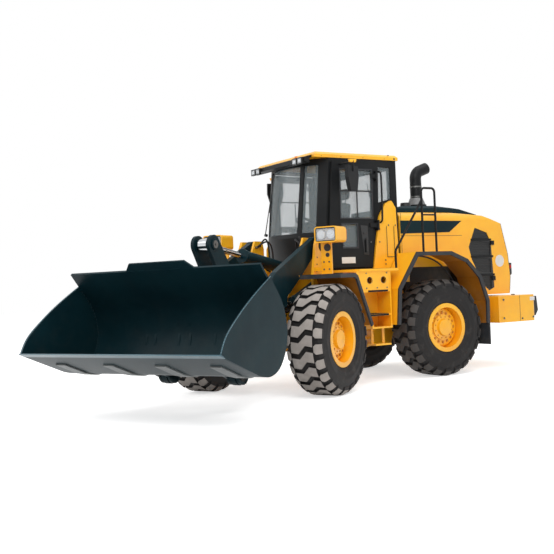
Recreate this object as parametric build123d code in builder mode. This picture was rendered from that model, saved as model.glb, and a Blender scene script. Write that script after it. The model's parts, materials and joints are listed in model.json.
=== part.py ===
from build123d import *
from math import cos, sin, atan2, degrees, radians, hypot
import os

# Wheel loader with a steering hinge in its middle. Millimetres, +X ahead along the rear machine,
# +Y to its left, +Z up. While it is drawn, the steering hinge stands over x = 0, y = 0, and the
# front machine is drawn straight ahead. It is turned about the hinge when it is written.

# ---------------------------------------------------------------- driving sizes
TURN = 27.5                     # degrees the front machine stands turned to the left
AXLE_REACH = 1539.0             # from the steering hinge to each axle
TREAD = 1960.0                  # between the middles of the left and right tyres
TYRE_R = 730.0                  # out to the tips of the lugs
TYRE_W = 520.0
BEAD_R = 330.0                  # where the tyre sits on its rim
FLANGE_R = 368.0
CLEAR = 12.0                    # between pieces that move past each other
FIT = 0.08                      # round a pin in its bore
PLATE = 30.0                    # frame plates
AXLE_Z = TYRE_R
WHEEL_Y = TREAD / 2
TYRE_IN = WHEEL_Y - TYRE_W / 2  # inner face of a tyre

# steering hinge
HINGE_PIN_R = 40.0
HINGE_EAR_R = 120.0
UPPER_Z = 1060.0                # middle of the upper and of the lower front lug
LOWER_Z = 540.0
LUG_T = 60.0
EAR_T = 40.0
FRONT_WALL_X = 550.0
REAR_WALL_X = -750.0
FRAME_Y = 400.0                 # middle of the frame's side plates
FRAME_LOW = 480.0
FRAME_HIGH = 1440.0
AXLE_SEAT = 930.0               # top of each axle's pad
SHAFT_JOINT_X = 350.0           # universal joints ahead of and behind the hinge
JOINT_R = 52.0

# boom and its linkage, x and z in the front machine's side plane
PIVOT = (970.0, 2000.0)         # boom on the tower
BUCKET_PIN = (3020.0, 420.0)
CRANK_PIN = (2420.0, 1330.0)
CRANK_TOP = (2850.0, 2010.0)
CRANK_FOOT = (2237.0, 696.0)
BUCKET_TOP_PIN = (3080.0, 870.0)
TUBE = (2050.0, 1250.0)          # cross tube between the arms
LIFT_FOOT = (820.0, 1510.0)
LIFT_HEAD = (1920.0, 1130.0)
TILT_FOOT = (800.0, 1690.0)
ARM_Y = 510.0                   # middle of a boom arm
ARM_T = 80.0
TOWER_IN = 420.0                # clear space between the tower's plates
TOWER_OUT = 600.0
TOWER_T = 40.0
PIN_R = 45.0
CRANK_Y = 95.0                  # inner faces of the bell crank's two plates
CRANK_T = 45.0

# steering cylinders, x and y in plan
STEER_Z = 800.0
STEER_FOOT = (-620.0, 300.0)
STEER_HEAD = (400.0, 300.0)

# bucket
BUCKET_HALF = 1403.0
BUCKET_T = 28.0

# cab
CAB_FLOOR = 1660.0
ROOF_TOP = 3360.0
ROOF_T = 80.0
CAB_TOP = ROOF_TOP - ROOF_T
CAB_BACK = -1020.0
CAB_Y = 790.0
CAB_WALL = 50.0
GLASS = 10.0
SEAL = 0.1                      # round a pane in its frame
DOOR_T = 46.0
DOOR_HINGE = (-592.0, CAB_Y + 62.0)
DOOR_STRAPS = (2300.0, CAB_TOP - 250)  # heights of the straps
STRAP_PIN = 45.0                # half the length of a hinge pin

# hood
HOOD_FRONT = -1120.0
HOOD_Y = 710.0
HOOD_WALL = 30.0
HOOD_TOP = 2530.0
HOOD_HINGE = (-1150.0, 2440.0)
HOOD_PIN_R = 10.0

# fenders, platforms, counterweight
FENDER_IN = 740.0
FENDER_OUT = 1240.0
EDGE_W = 28.0
DECK_Z = 1650.0
DECK_T = 36.0
BALLAST_Y = 1200.0
BALLAST_LOW = 730.0
BALLAST_TOP = 1150.0
BALLAST_BACK = -3490.0


# ---------------------------------------------------------------- shape helpers
def face(points):
    """A closed face with straight sides, in the sketch that is open."""
    with BuildLine() as line:
        Polyline(*points, close=True)
    make_face(line.edges())


def plate(points, y_from, y_to, mode=Mode.ADD):
    """An upright plate whose outline is given in x and z."""
    with BuildSketch(Plane.XZ.offset(-y_to)) as outline:
        face(points)
    extrude(outline.sketch, amount=y_to - y_from, mode=mode)


def slab(points, z_from, z_to, mode=Mode.ADD):
    """A level plate whose outline is given in x and y."""
    with BuildSketch(Plane.XY.offset(z_from)) as outline:
        face(points)
    extrude(outline.sketch, amount=z_to - z_from, mode=mode)


def block(x, y, z, mode=Mode.ADD):
    """A box between a low and a high value on each axis."""
    with BuildSketch(Plane.XY.offset(z[0])) as base:
        with Locations(((x[0] + x[1]) / 2, (y[0] + y[1]) / 2)):
            Rectangle(x[1] - x[0], y[1] - y[0])
    extrude(base.sketch, amount=z[1] - z[0], mode=mode)


def rod(start, end, radius, mode=Mode.ADD):
    """A round bar between two points."""
    along = Vector(*end) - Vector(*start)
    with BuildSketch(Plane(origin=start, z_dir=along)) as disc:
        Circle(radius)
    extrude(disc.sketch, amount=along.length, mode=mode)


def cross(at, y_from, y_to, radius, mode=Mode.ADD):
    """A round bar that lies across the machine, at an x and z."""
    rod((at[0], y_from, at[1]), (at[0], y_to, at[1]), radius, mode)


def stand(at, z_from, z_to, radius, mode=Mode.ADD):
    """An upright round bar, at an x and y."""
    rod((at[0], at[1], z_from), (at[0], at[1], z_to), radius, mode)


def tapered(at, far, radius, far_radius, y_from, y_to, mode=Mode.ADD):
    """A plate with a round end at each of two points in x and z."""
    with BuildSketch(Plane.XZ.offset(-y_to)) as outline:
        with Locations(at):
            Circle(radius)
        with Locations(far):
            Circle(far_radius)
        make_hull()
    extrude(outline.sketch, amount=y_to - y_from, mode=mode)


def between(start, end, share):
    """A point a share of the way from one point to another."""
    return tuple(a + (b - a) * share for a, b in zip(start, end))


def along(start, end, length):
    """A point a length along the line from one point towards another."""
    return between(start, end, length / hypot(*(b - a for a, b in zip(start, end))))


# ---------------------------------------------------------------- rear machine: frame
HINGE_LEVELS = (UPPER_Z, LOWER_Z)
REAR_SEAT = -AXLE_REACH + 279   # the arch over the rear axle is 560 long from here
LUG_GAP = 10.0
PIN_END = LUG_T / 2 + LUG_GAP + EAR_T + 20

with BuildPart() as rear_frame:
    for hand in (-1, 1):
        near = hand * FRAME_Y - PLATE / 2
        plate([(REAR_WALL_X, FRAME_LOW), (REAR_SEAT + 180, FRAME_LOW), (REAR_SEAT, 985), (REAR_SEAT - 560, 985),
               (REAR_SEAT - 720, 740), (-3100, 740), (-3100, 1160), (-1500, 1160), (-1250, FRAME_HIGH), (REAR_WALL_X, FRAME_HIGH)],
              near, near + PLATE)
    block((REAR_WALL_X - PLATE, REAR_WALL_X), (-FRAME_Y, FRAME_Y), (FRAME_LOW, 1440))
    rod((REAR_WALL_X - PLATE - 1, 0, AXLE_Z), (REAR_WALL_X + 1, 0, AXLE_Z), 110, mode=Mode.SUBTRACT)
    block((REAR_SEAT, REAR_SEAT + 30), (-FRAME_Y, FRAME_Y), (985, 1440))
    block((REAR_SEAT - 560, REAR_SEAT - 530), (-FRAME_Y, FRAME_Y), (985, 1140))
    block((-3100, -3060), (-FRAME_Y, FRAME_Y), (740, 1120))
    for level in HINGE_LEVELS:
        for side in (-1, 1):
            middle = level + side * (LUG_T / 2 + LUG_GAP + EAR_T / 2)
            with BuildSketch(Plane.XY.offset(middle - EAR_T / 2)) as ear:
                Circle(HINGE_EAR_R)
                with Locations((REAR_WALL_X + 10, 240), (REAR_WALL_X + 10, -240)):
                    Circle(40)
                make_hull()
            extrude(ear.sketch, amount=EAR_T)
        stand((0, 0), level - PIN_END, level + PIN_END, HINGE_PIN_R)
    # carrier for the cab: two outriggers with a rubber mount under each corner of the cab
    block((REAR_WALL_X, -60), (-330, -300), (UPPER_Z + PIN_END - 20, 1440))
    block((REAR_WALL_X, -60), (300, 330), (UPPER_Z + PIN_END - 20, 1440))
    for x, reach in ((-150, 790), (-560, 790), (-950, 640)):
        block((x - 60, x + 60), (-reach, reach), (1440, 1500))
        for hand in (-1, 1):
            if reach > 700:
                block((x - 60, x + 60), tuple(sorted((hand * 700, hand * reach))), (1500, DECK_Z - DECK_T))
            if x != -560:
                stand((x, hand * 560), 1500, CAB_FLOOR - 60, 60)
    # wall behind the cab, with the ears and the pins that the hood hangs on
    block((-1105, -1085), (-FRAME_Y, FRAME_Y), (FRAME_HIGH, 1500))
    block((-1105, -1085), (-660, 660), (1500, 2440))
    for hand in (-1, 1):
        tapered(HOOD_HINGE, (-1096, 2410), 24, 10, *sorted((hand * 585, hand * 608)))
        cross(HOOD_HINGE, *sorted((hand * 585, hand * 640)), HOOD_PIN_R)
    # ears for the steering cylinders
    for hand in (-1, 1):
        for side in (-1, 1):
            with BuildSketch(Plane.XY.offset(STEER_Z + side * 60 - 12)) as ear:
                with Locations((STEER_FOOT[0], hand * STEER_FOOT[1])):
                    Circle(55)
                with Locations((REAR_WALL_X + 5, hand * STEER_FOOT[1])):
                    Rectangle(10, 150)
                make_hull()
            extrude(ear.sketch, amount=24)
        stand((STEER_FOOT[0], hand * STEER_FOOT[1]), STEER_Z - 80, STEER_Z + 80, 25)
    # saddle that the rear axle swings in
    for x in (-AXLE_REACH - 140, -AXLE_REACH + 140):
        block((x - 20, x + 20), (-FRAME_Y, FRAME_Y), (AXLE_SEAT, 985))


def axle(centre_x):
    """Housing with its round middle, tapered arms, and a spindle for each wheel."""
    with BuildPart() as housing:
        with Locations((centre_x, 0, AXLE_Z)):
            Sphere(205)
        cross((centre_x, AXLE_Z), -300, 300, 150)
        for hand in (-1, 1):
            with BuildSketch(Plane.XZ.offset(-hand * 290)) as inner:
                with Locations((centre_x, AXLE_Z)):
                    Circle(125)
            with BuildSketch(Plane.XZ.offset(-hand * 690)) as outer:
                with Locations((centre_x, AXLE_Z)):
                    Circle(95)
            loft([inner.sketch.face(), outer.sketch.face()])
            cross((centre_x, AXLE_Z), *sorted((hand * 680, hand * 730)), 150)
            cross((centre_x, AXLE_Z), *sorted((hand * 720, hand * (WHEEL_Y + 60))), 70)
        block((centre_x - 165, centre_x + 165), (-330, 330), (AXLE_Z + 80, AXLE_SEAT))
    return housing


rear_axle = axle(-AXLE_REACH)

with BuildPart() as engine_block:
    block((-2450, -1500), (-330, 330), (1180, 2000))
    block((-2900, -2700), (-350, 350), (1180, 2250))
    block((-2700, -2450), (-60, 60), (1400, 1520))
    for x in (-2350, -1600):
        for hand in (-1, 1):
            block((x - 50, x + 50), tuple(sorted((hand * 300, hand * (FRAME_Y + 10)))), (1160, 1200))

with BuildPart() as gearbox:
    block((-1200, -800), (-300, 300), (560, 1250))
    rod((-805, 0, AXLE_Z), (-700, 0, AXLE_Z), 90)
    rod((-700, 0, AXLE_Z), (-SHAFT_JOINT_X - JOINT_R - FIT, 0, AXLE_Z), 45)
    rod((-1195, 0, AXLE_Z), (-1260, 0, AXLE_Z), 80)
    rod((-1250, 0, AXLE_Z), (-AXLE_REACH + 206, 0, AXLE_Z), 60)
    for hand in (-1, 1):
        block((-1060, -940), tuple(sorted((hand * 290, hand * (FRAME_Y - PLATE / 2)))), (900, 980))

# ---------------------------------------------------------------- rear machine: ballast and wings
with BuildPart() as counterweight:
    block((BALLAST_BACK, -3100), (-BALLAST_Y, BALLAST_Y), (BALLAST_LOW, BALLAST_TOP))
    for hand in (-1, 1):
        slab([(-3100, hand * 460), (-3100, hand * BALLAST_Y), (-2680, hand * (BALLAST_Y - 30)),
              (-2680, hand * 760), (-2820, hand * 460)], BALLAST_LOW, BALLAST_TOP)
    back = counterweight.edges().filter_by(Axis.Z).group_by(Axis.X)[0]
    fillet(back, 70)

with BuildPart() as rear_bumper:
    plate([(BALLAST_BACK, 800), (BALLAST_BACK - 90, 800), (BALLAST_BACK - 150, 890), (BALLAST_BACK - 120, 1120),
           (BALLAST_BACK, 1120)], -BALLAST_Y + 90, BALLAST_Y - 90)

ARCH_TOP = 1875.0
ARCH = [(-545, 830), (-590, 1350), (-AXLE_REACH + 579, ARCH_TOP), (-AXLE_REACH - 101, ARCH_TOP),
        (-AXLE_REACH - 431, 1750), (-AXLE_REACH - 701, 1490), (-AXLE_REACH - 851, 1100), (-AXLE_REACH - 841, 750)]
FLAP_X = ARCH[-1][0]


def shell_band(points, thick, side=Side.LEFT):
    """A strip of even thickness on the inner side of an open line of points."""
    with BuildLine() as line:
        Polyline(*points)
        offset(amount=thick, side=side)
    make_face(line.edges())


ARCH_T = 24.0
with BuildPart() as rear_fenders:
    with BuildSketch(Plane.XZ.offset(-FENDER_OUT)) as skin:
        shell_band(ARCH, ARCH_T)
    extrude(skin.sketch, amount=FENDER_OUT - FENDER_IN)
    block((-1060, -500), (FENDER_IN - 10, CAB_Y + 50), (1590, 2000), mode=Mode.SUBTRACT)
    # brackets from the frame
    block((-1240, -1180), (FRAME_Y - PLATE / 2, FENDER_IN + 6), (FRAME_HIGH, FRAME_HIGH + 40))
    block((-1240, -1180), (FENDER_IN - 18, FENDER_IN + 6), (FRAME_HIGH, ARCH_TOP - 5))
    block((FLAP_X + 8, FLAP_X + 80), (FRAME_Y + PLATE / 2, FENDER_IN + 20), (1060, 1100))
    mirror(about=Plane.XZ)

with BuildPart() as rear_fender_edges:
    with BuildSketch(Plane.XZ.offset(-FENDER_OUT - EDGE_W)) as skin:
        shell_band(ARCH, 2.4 * ARCH_T)
    extrude(skin.sketch, amount=EDGE_W)
    block((FLAP_X, FLAP_X + 24), (FENDER_IN + 20, FENDER_OUT + EDGE_W), (420, ARCH[-1][1]))
    mirror(about=Plane.XZ)

# ladders: a stringer at each end, a back plate, treads and a step that hangs below
LADDER_OUT = 1160.0
LADDER_IN = 840.0
PANEL_LOW = 1345.0
with BuildPart() as side_ladders:
    front_edge = [(90, DECK_Z - DECK_T), (60, DECK_Z - DECK_T), (-200, 790), (-170, 790)]
    plate(front_edge, LADDER_IN, LADDER_OUT)
    block((-530, -505), (LADDER_IN, LADDER_OUT), (790, DECK_Z - DECK_T))
    plate([(90, DECK_Z - DECK_T), (-530, DECK_Z - DECK_T), (-530, 790), (-170, 790)], LADDER_IN, LADDER_IN + 20)
    block((-515, -190), (LADDER_IN, LADDER_OUT), (790, 815))
    block((-515, -130), (LADDER_IN, LADDER_OUT), (970, 1000))
    block((-515, -14), (LADDER_IN, LADDER_OUT), (PANEL_LOW - 30, PANEL_LOW))
    plate([(-5, PANEL_LOW - 1), (65, DECK_Z - DECK_T), (-515, DECK_Z - DECK_T), (-515, PANEL_LOW - 1)],
          LADDER_OUT - 24, LADDER_OUT - 4)
    for x in (-400, -150):
        cross((x, PANEL_LOW + 140), LADDER_OUT - 30, LADDER_OUT + 2, 46, mode=Mode.SUBTRACT)
    block((-510, -230), (940, 1140), (545, 570))
    for x in (-470, -270):
        block((x - 20, x + 20), (1000, 1012), (560, 800))
    slab([(-670, 640), (-670, 1175), (40, 1175), (300, 860), (300, 640)], DECK_Z - DECK_T, DECK_Z)
    mirror(about=Plane.XZ)

RAIL_R = 17.0
with BuildPart() as handrails:
    def bar(*points):
        """A bent tube, each point after the first reached by a straight run."""
        with BuildLine() as path:
            FilletPolyline(*points, radius=60)
        with BuildSketch(Plane(origin=path.line @ 0, z_dir=path.line % 0)) as section:
            Circle(RAIL_R)
        sweep(section.sketch, path=path.line)

    RAIL_Y = 1150.0
    rail_top = ARCH_TOP + 955
    bar((-1190, RAIL_Y, ARCH_TOP), (-1190, RAIL_Y, rail_top), (-1450, RAIL_Y, rail_top), (-1450, RAIL_Y, ARCH_TOP))
    rod((-1190, RAIL_Y, rail_top - 400), (-1450, RAIL_Y, rail_top - 400), 12)
    bar((-650, RAIL_Y, DECK_Z), (-650, RAIL_Y, DECK_Z + 250), (-1190, RAIL_Y, DECK_Z + 1000))
    mirror(about=Plane.XZ)

# ---------------------------------------------------------------- rear machine: hood
HOOD_SIDE = [(HOOD_FRONT, 1660), (HOOD_FRONT, 2510), (-2080, HOOD_TOP), (-2880, 2470), (-3280, 2340),
             (-3420, 1830), (-3460, 1450), (-3430, 1175), (-2860, 1175), (-2420, 1660)]


def hood_form(inset):
    """The hood's outline from the side, rounded across its top; inset draws the room inside it."""
    with BuildPart() as form:
        with BuildSketch(Plane.XZ.offset(-HOOD_Y)) as side:
            face(HOOD_SIDE)
            if inset:
                offset(amount=-inset, kind=Kind.INTERSECTION)
        extrude(side.sketch, amount=2 * HOOD_Y)
        with BuildSketch(Plane.YZ.offset(-4000)) as section:
            half = HOOD_Y - inset
            with BuildLine() as line:
                Polyline((-half, 1000), (half, 1000), (half, 2380))
                ThreePointArc((half, 2380), (half - 32, 2475), (half - 120, 2520 - inset / 2))
                Polyline((half - 120, 2520 - inset / 2), (-half + 120, 2520 - inset / 2))
                ThreePointArc((-half + 120, 2520 - inset / 2), (-half + 32, 2475), (-half, 2380))
                Line((-half, 2380), (-half, 1000))
            make_face(line.edges())
        extrude(section.sketch, amount=4000, mode=Mode.INTERSECT)
    return form.part


GRILLE = [(-2690, 2270), (-2960, 2190), (-3040, 2030), (-3080, 1290), (-2960, 1240), (-2840, 1330),
          (-2600, 1750), (-2540, 1960)]
REAR_OPEN_Y = 520.0
GRILLE_HINGE = (-3480.0, -REAR_OPEN_Y - 6)
GRILLE_PINS = (1450.0, 1780.0)
GRILLE_PIN_R = 9.0

with BuildPart() as hood_room:
    add(hood_form(HOOD_WALL))
    block((-2900, HOOD_FRONT + 50), (-HOOD_Y + HOOD_WALL, HOOD_Y - HOOD_WALL), (1000, 2350))
    block((-3400, -2200), (-HOOD_Y + HOOD_WALL, HOOD_Y - HOOD_WALL), (1000, 1500))
    block((-1300, HOOD_FRONT + 50), (-655, 655), (2300, 2478))

with BuildPart() as hood_shell:
    add(hood_form(0))
    add(hood_room.part, mode=Mode.SUBTRACT)
    plate(GRILLE, -HOOD_Y - 50, HOOD_Y + 50, mode=Mode.SUBTRACT)
    block((-3600, -3200), (-REAR_OPEN_Y, REAR_OPEN_Y), (1300, 2230), mode=Mode.SUBTRACT)
    for hand in (-1, 1):
        tapered(HOOD_HINGE, (-1175, 2485), 24, 24, *sorted((hand * 613, hand * 636)))
    cross(HOOD_HINGE, -HOOD_Y + HOOD_WALL, HOOD_Y - HOOD_WALL, HOOD_PIN_R + FIT, mode=Mode.SUBTRACT)
    for z in GRILLE_PINS:
        for low, high in ((z - 52, z - 26 - FIT), (z + 26 + FIT, z + 52)):
            block((GRILLE_HINGE[0] - 12, -3400), (-REAR_OPEN_Y - 30, -REAR_OPEN_Y + 5), (low, high))

EXHAUST_AT = (-2095.0, 0.0)
with BuildPart() as hood_cap:
    plate([(-1160, 2511), (-1160, 2600), (-1350, 2625), (-1980, 2635), (-2500, 2585), (-2890, 2495),
           (-2880, 2470.1), (-2213, 2520.1), (-1600, 2520.1)], -560, 560)
    sides = hood_cap.faces().filter_by(Axis.Y)
    chamfer(sides.edges().group_by(Axis.Z)[-1], 40)
    stand(EXHAUST_AT, 2500, 2700, 165.2, mode=Mode.SUBTRACT)

with BuildPart() as hood_stripes:
    plate([(-1130, 2180), (-1130, 2380), (-2400, 2380), (-2130, 2200)], HOOD_Y, HOOD_Y + 4)
    mirror(about=Plane.XZ)


def shifted(points, inset):
    """The same outline drawn in towards its middle."""
    middle_x = sum(p[0] for p in points) / len(points)
    middle_z = sum(p[1] for p in points) / len(points)
    moved = []
    for x, z in points:
        reach = hypot(x - middle_x, z - middle_z)
        moved.append((x + (middle_x - x) * inset / reach, z + (middle_z - z) * inset / reach))
    return moved


with BuildPart() as side_grilles:
    plate(shifted(GRILLE, SEAL), HOOD_Y - 28, HOOD_Y)
    for low, high in ((1270, 1500), (1535, 1760), (1795, 2030), (2065, 2220)):
        plate([(-3020, low), (-3020, high), (-2570, high + 36), (-2570, low + 36)], HOOD_Y - 14, HOOD_Y + 1,
              mode=Mode.SUBTRACT)
    mirror(about=Plane.XZ)

# the grille door hangs in the hood's rear opening, in the plane of the hood's slanted back
DOOR_LOW = 1320.0
DOOR_HIGH = 2210.0


def back_x(z):
    """How far back the hood's rear face is at a height."""
    if z > 1830:
        return -3420 + (z - 1830) * (3420 - 3280) / (2340 - 1830)
    return -3460 + (z - 1450) * 40 / 380


with BuildPart() as rear_grille:
    door_y = REAR_OPEN_Y - CLEAR
    plate([(-3452, DOOR_LOW), (-3415, DOOR_HIGH - 380), (-3312, DOOR_HIGH), (-3276, DOOR_HIGH),
           (-3379, DOOR_HIGH - 380), (-3416, DOOR_LOW)], -door_y, door_y)
    for step in range(9):
        z = DOOR_LOW + 60 + step * 88
        block((back_x(z + 26) - 6, -3290), (-door_y + 60, door_y - 60), (z, z + 44), mode=Mode.SUBTRACT)
    for z in GRILLE_PINS:
        block((GRILLE_HINGE[0] - 9, back_x(z - 20) - 2), (GRILLE_HINGE[1], -door_y + 40), (z - 20, z + 20))
        block((GRILLE_HINGE[0] - 9, back_x(z + 20) + 6), (-door_y, -door_y + 40), (z - 20, z + 20))
        stand(GRILLE_HINGE, z - 26, z + 26, GRILLE_PIN_R)

with BuildPart() as exhaust:
    stand(EXHAUST_AT, 2520, 2700, 165)
    with BuildSketch(Plane.XY.offset(2700)) as low:
        with Locations((-2095, 0)):
            Circle(150)
    with BuildSketch(Plane.XY.offset(2800)) as high:
        with Locations((-2095, 0)):
            Circle(100)
    loft([low.sketch.face(), high.sketch.face()])
    with BuildLine() as path:
        FilletPolyline((-2095, 0, 2800), (-2095, 0, 3235), (-2330, 0, 3320), radius=140)
    with BuildSketch(Plane(origin=path.line @ 0, z_dir=path.line % 0)) as section:
        Circle(95)
    sweep(section.sketch, path=path.line)
    with BuildSketch(Plane(origin=path.line @ 1, z_dir=-(path.line % 1))) as bore:
        Circle(84)
    extrude(bore.sketch, amount=120, mode=Mode.SUBTRACT)

with BuildPart() as tail_lamps:
    plate([(back_x(1690), 1690), (back_x(1470), 1470), (-3510, 1480), (-3530, 1500), (-3530, 1680)],
          HOOD_Y - 150, HOOD_Y - 30)
    mirror(about=Plane.XZ)

with BuildPart() as fuel_tank:
    block((-3060, -2980), (-330, 330), (800, 1080))
    block((-2980, -2420), (-380, 380), (800, 1080))
    fillet(fuel_tank.edges().filter_by(Axis.X), 40)

# ---------------------------------------------------------------- rear machine: cab


def cab_plan(front, corner, shoulder, inset):
    """The cab's outline from above: square behind, drawn in and bowed in front."""
    half = CAB_Y - inset
    back = CAB_BACK + inset
    with BuildLine() as line:
        Polyline((corner[0] - inset, -corner[1] + inset / 2), (shoulder, -half), (back, -half), (back, half),
                 (shoulder, half), (corner[0] - inset, corner[1] - inset / 2))
        ThreePointArc((corner[0] - inset, corner[1] - inset / 2), (front - inset, 0),
                      (corner[0] - inset, -corner[1] + inset / 2))
    make_face(line.edges())


CAB_SECTIONS = [(CAB_FLOOR, 560, (500, 440), 330), (2150, 650, (540, 440), 325), (CAB_TOP, 500, (390, 500), 215)]


def cab_form(inset, low=CAB_FLOOR, high=CAB_TOP):
    """The cab's body between its floor and its roof, lofted through its plan outlines."""
    with BuildPart() as form:
        faces = []
        for z, front, corner, shoulder in CAB_SECTIONS:
            level = min(max(z, low), high)
            with BuildSketch(Plane.XY.offset(level)) as outline:
                cab_plan(front, corner, shoulder, inset)
            faces.append(outline.sketch.face())
        loft(faces, ruled=True)
    return form.part


DOOR = [(322, CAB_FLOOR + 26), (190, CAB_TOP - 55), (-570, CAB_TOP - 75), (-480, CAB_FLOOR + 26)]
DOOR_WINDOW = [(85, 2390), (70, CAB_TOP - 150), (-530, CAB_TOP - 150), (-520, 2390)]
DOOR_LOW_WINDOW = [(60, 1960), (75, 2330), (-230, 2330), (-230, 1960)]
QUARTER = [(-660, 2640), (-680, CAB_TOP - 110), (-900, CAB_TOP - 110), (-900, 2700)]


def side_opening(points, deep=CAB_WALL + 40):
    """Cuts the same window through both side walls."""
    plate(points, CAB_Y - deep, CAB_Y + 40, mode=Mode.SUBTRACT)
    plate(points, -CAB_Y - 40, -CAB_Y + deep, mode=Mode.SUBTRACT)


def grown(points, by):
    """The outline pushed out by a clearance."""
    return shifted(points, -by)


FRONT_LOW = 2210.0
FRONT_HIGH = CAB_TOP - 90
BACK_WINDOW = (2380.0, CAB_TOP - 130)
with BuildPart() as glass_zone:
    block((240, 900), (-700, 700), (FRONT_LOW, FRONT_HIGH))

with BuildPart() as cab_frame:
    add(cab_form(0))
    add(cab_form(CAB_WALL, CAB_FLOOR - 10, CAB_TOP + 10), mode=Mode.SUBTRACT)
    side_opening(grown(DOOR, 8))
    side_opening(QUARTER)
    for z in DOOR_STRAPS:
        for side in (-1, 1):
            low, high = sorted((z + side * (STRAP_PIN + FIT), z + side * (STRAP_PIN + 28)))
            for hand in (-1, 1):
                block((DOOR_HINGE[0] - 16, DOOR_HINGE[0] + 16),
                      tuple(sorted((hand * (CAB_Y - 20), hand * (DOOR_HINGE[1] + 16)))), (low, high))
    block((CAB_BACK - 20, CAB_BACK + 90), (-620, 620), BACK_WINDOW, mode=Mode.SUBTRACT)
    # windscreen between its two posts, and a bent quarter window on each side of it
    block((300, 900), (-395, 395), (FRONT_LOW, FRONT_HIGH), mode=Mode.SUBTRACT)
    for hand in (-1, 1):
        plate([(395, FRONT_LOW), (300, FRONT_HIGH), (900, FRONT_HIGH), (900, FRONT_LOW)],
              *sorted((hand * 455, hand * 900)), mode=Mode.SUBTRACT)

with BuildPart() as glass_skin:
    add(cab_form(14))
    add(cab_form(14 + GLASS, CAB_FLOOR - 10, CAB_TOP + 10), mode=Mode.SUBTRACT)

with BuildPart() as windscreen:
    add(glass_skin.part)
    block((300, 900), (-395 + SEAL, 395 - SEAL), (FRONT_LOW + SEAL, FRONT_HIGH - SEAL), mode=Mode.INTERSECT)

with BuildPart() as quarter_cut:
    for hand in (-1, 1):
        plate([(395 + SEAL, FRONT_LOW + SEAL), (300 + SEAL, FRONT_HIGH - SEAL), (900, FRONT_HIGH - SEAL),
               (900, FRONT_LOW + SEAL)], *sorted((hand * (455 + SEAL), hand * 900)))

with BuildPart() as side_glass:
    add(glass_skin.part)
    add(quarter_cut.part, mode=Mode.INTERSECT)
    for hand in (-1, 1):
        plate(shifted(QUARTER, SEAL), *sorted((hand * (CAB_Y - 14), hand * (CAB_Y - 14 - GLASS))))
    block((CAB_BACK + 14, CAB_BACK + 14 + GLASS), (-620 + SEAL, 620 - SEAL),
          (BACK_WINDOW[0] + SEAL, BACK_WINDOW[1] - SEAL))

with BuildPart() as cab_floor:
    block((CAB_BACK, 420), (-640, 640), (CAB_FLOOR - 60, CAB_FLOOR))
    slab([(CAB_BACK + 52, -736), (CAB_BACK + 52, 736), (300, 736), (440, 400), (440, -400), (300, -736)],
         CAB_FLOOR, CAB_FLOOR + 16)

with BuildPart() as cab_side_panels:
    plate([(-500, CAB_FLOOR), (-640, 2420), (-760, 2620), (-880, 2680), (-960, 2560), (-990, CAB_FLOOR)],
          CAB_Y, CAB_Y + 34)
    fillet(cab_side_panels.edges().filter_by(Axis.Y).group_by(Axis.Z)[-1], 40)
    block((-640, DOOR_HINGE[0] + 20), (CAB_Y - 1, CAB_Y + 40),
          (DOOR_STRAPS[0] - STRAP_PIN - 30, DOOR_STRAPS[0] + STRAP_PIN + 30), mode=Mode.SUBTRACT)
    mirror(about=Plane.XZ)

with BuildPart() as roof:
    slab([(470, -800), (470, 800), (-1060, 800), (-1060, -800)], CAB_TOP, ROOF_TOP)
    chamfer(roof.edges().group_by(Axis.Z)[-1], 34)
    block((-980, 380), (-560, 560), (ROOF_TOP - 20, ROOF_TOP + 14))
    block((-1080, -960), (-250, 250), (CAB_TOP + 30, ROOF_TOP + 20), mode=Mode.SUBTRACT)

with BuildPart() as visor:
    plate([(470, CAB_TOP), (470, CAB_TOP + 40), (600, CAB_TOP), (600, CAB_TOP - 55), (512, CAB_TOP - 75),
           (512, CAB_TOP)], -730, 730)
    for y in (-655, -520, 520, 655):
        block((600, 625), (y - 55, y + 55), (CAB_TOP - 90, CAB_TOP + 5))

with BuildPart() as seat:
    block((-520, -60), (-240, 240), (2060, 2160))
    plate([(-520, 2150), (-650, 2760), (-560, 2790), (-400, 2150)], -230, 230)
    block((-440, -160), (-170, 170), (CAB_FLOOR + 16, 2060))
    for hand in (-1, 1):
        block((-480, -140), tuple(sorted((hand * 250, hand * 340))), (2240, 2300))
        block((-360, -300), tuple(sorted((hand * 230, hand * 262))), (2080, 2270))
    plate([(-640, 2750), (-665, 2950), (-600, 2960), (-560, 2790)], -130, 130)

with BuildPart() as console:
    plate([(200, CAB_FLOOR + 16), (120, 2180), (230, 2260), (400, 2180), (430, CAB_FLOOR + 16)], -200, 200)
    rod((190, 0, 2210), (90, 0, 2370), 40)
    with BuildSketch(Plane(origin=(95, 0, 2365), x_dir=(0, 1, 0), z_dir=(-0.53, 0, 0.85))) as wheel:
        Circle(200)
        Circle(170, mode=Mode.SUBTRACT)
        with PolarLocations(90, 3, start_angle=90):
            Rectangle(180, 30)
        Circle(50)
    extrude(wheel.sketch, amount=26)


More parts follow.
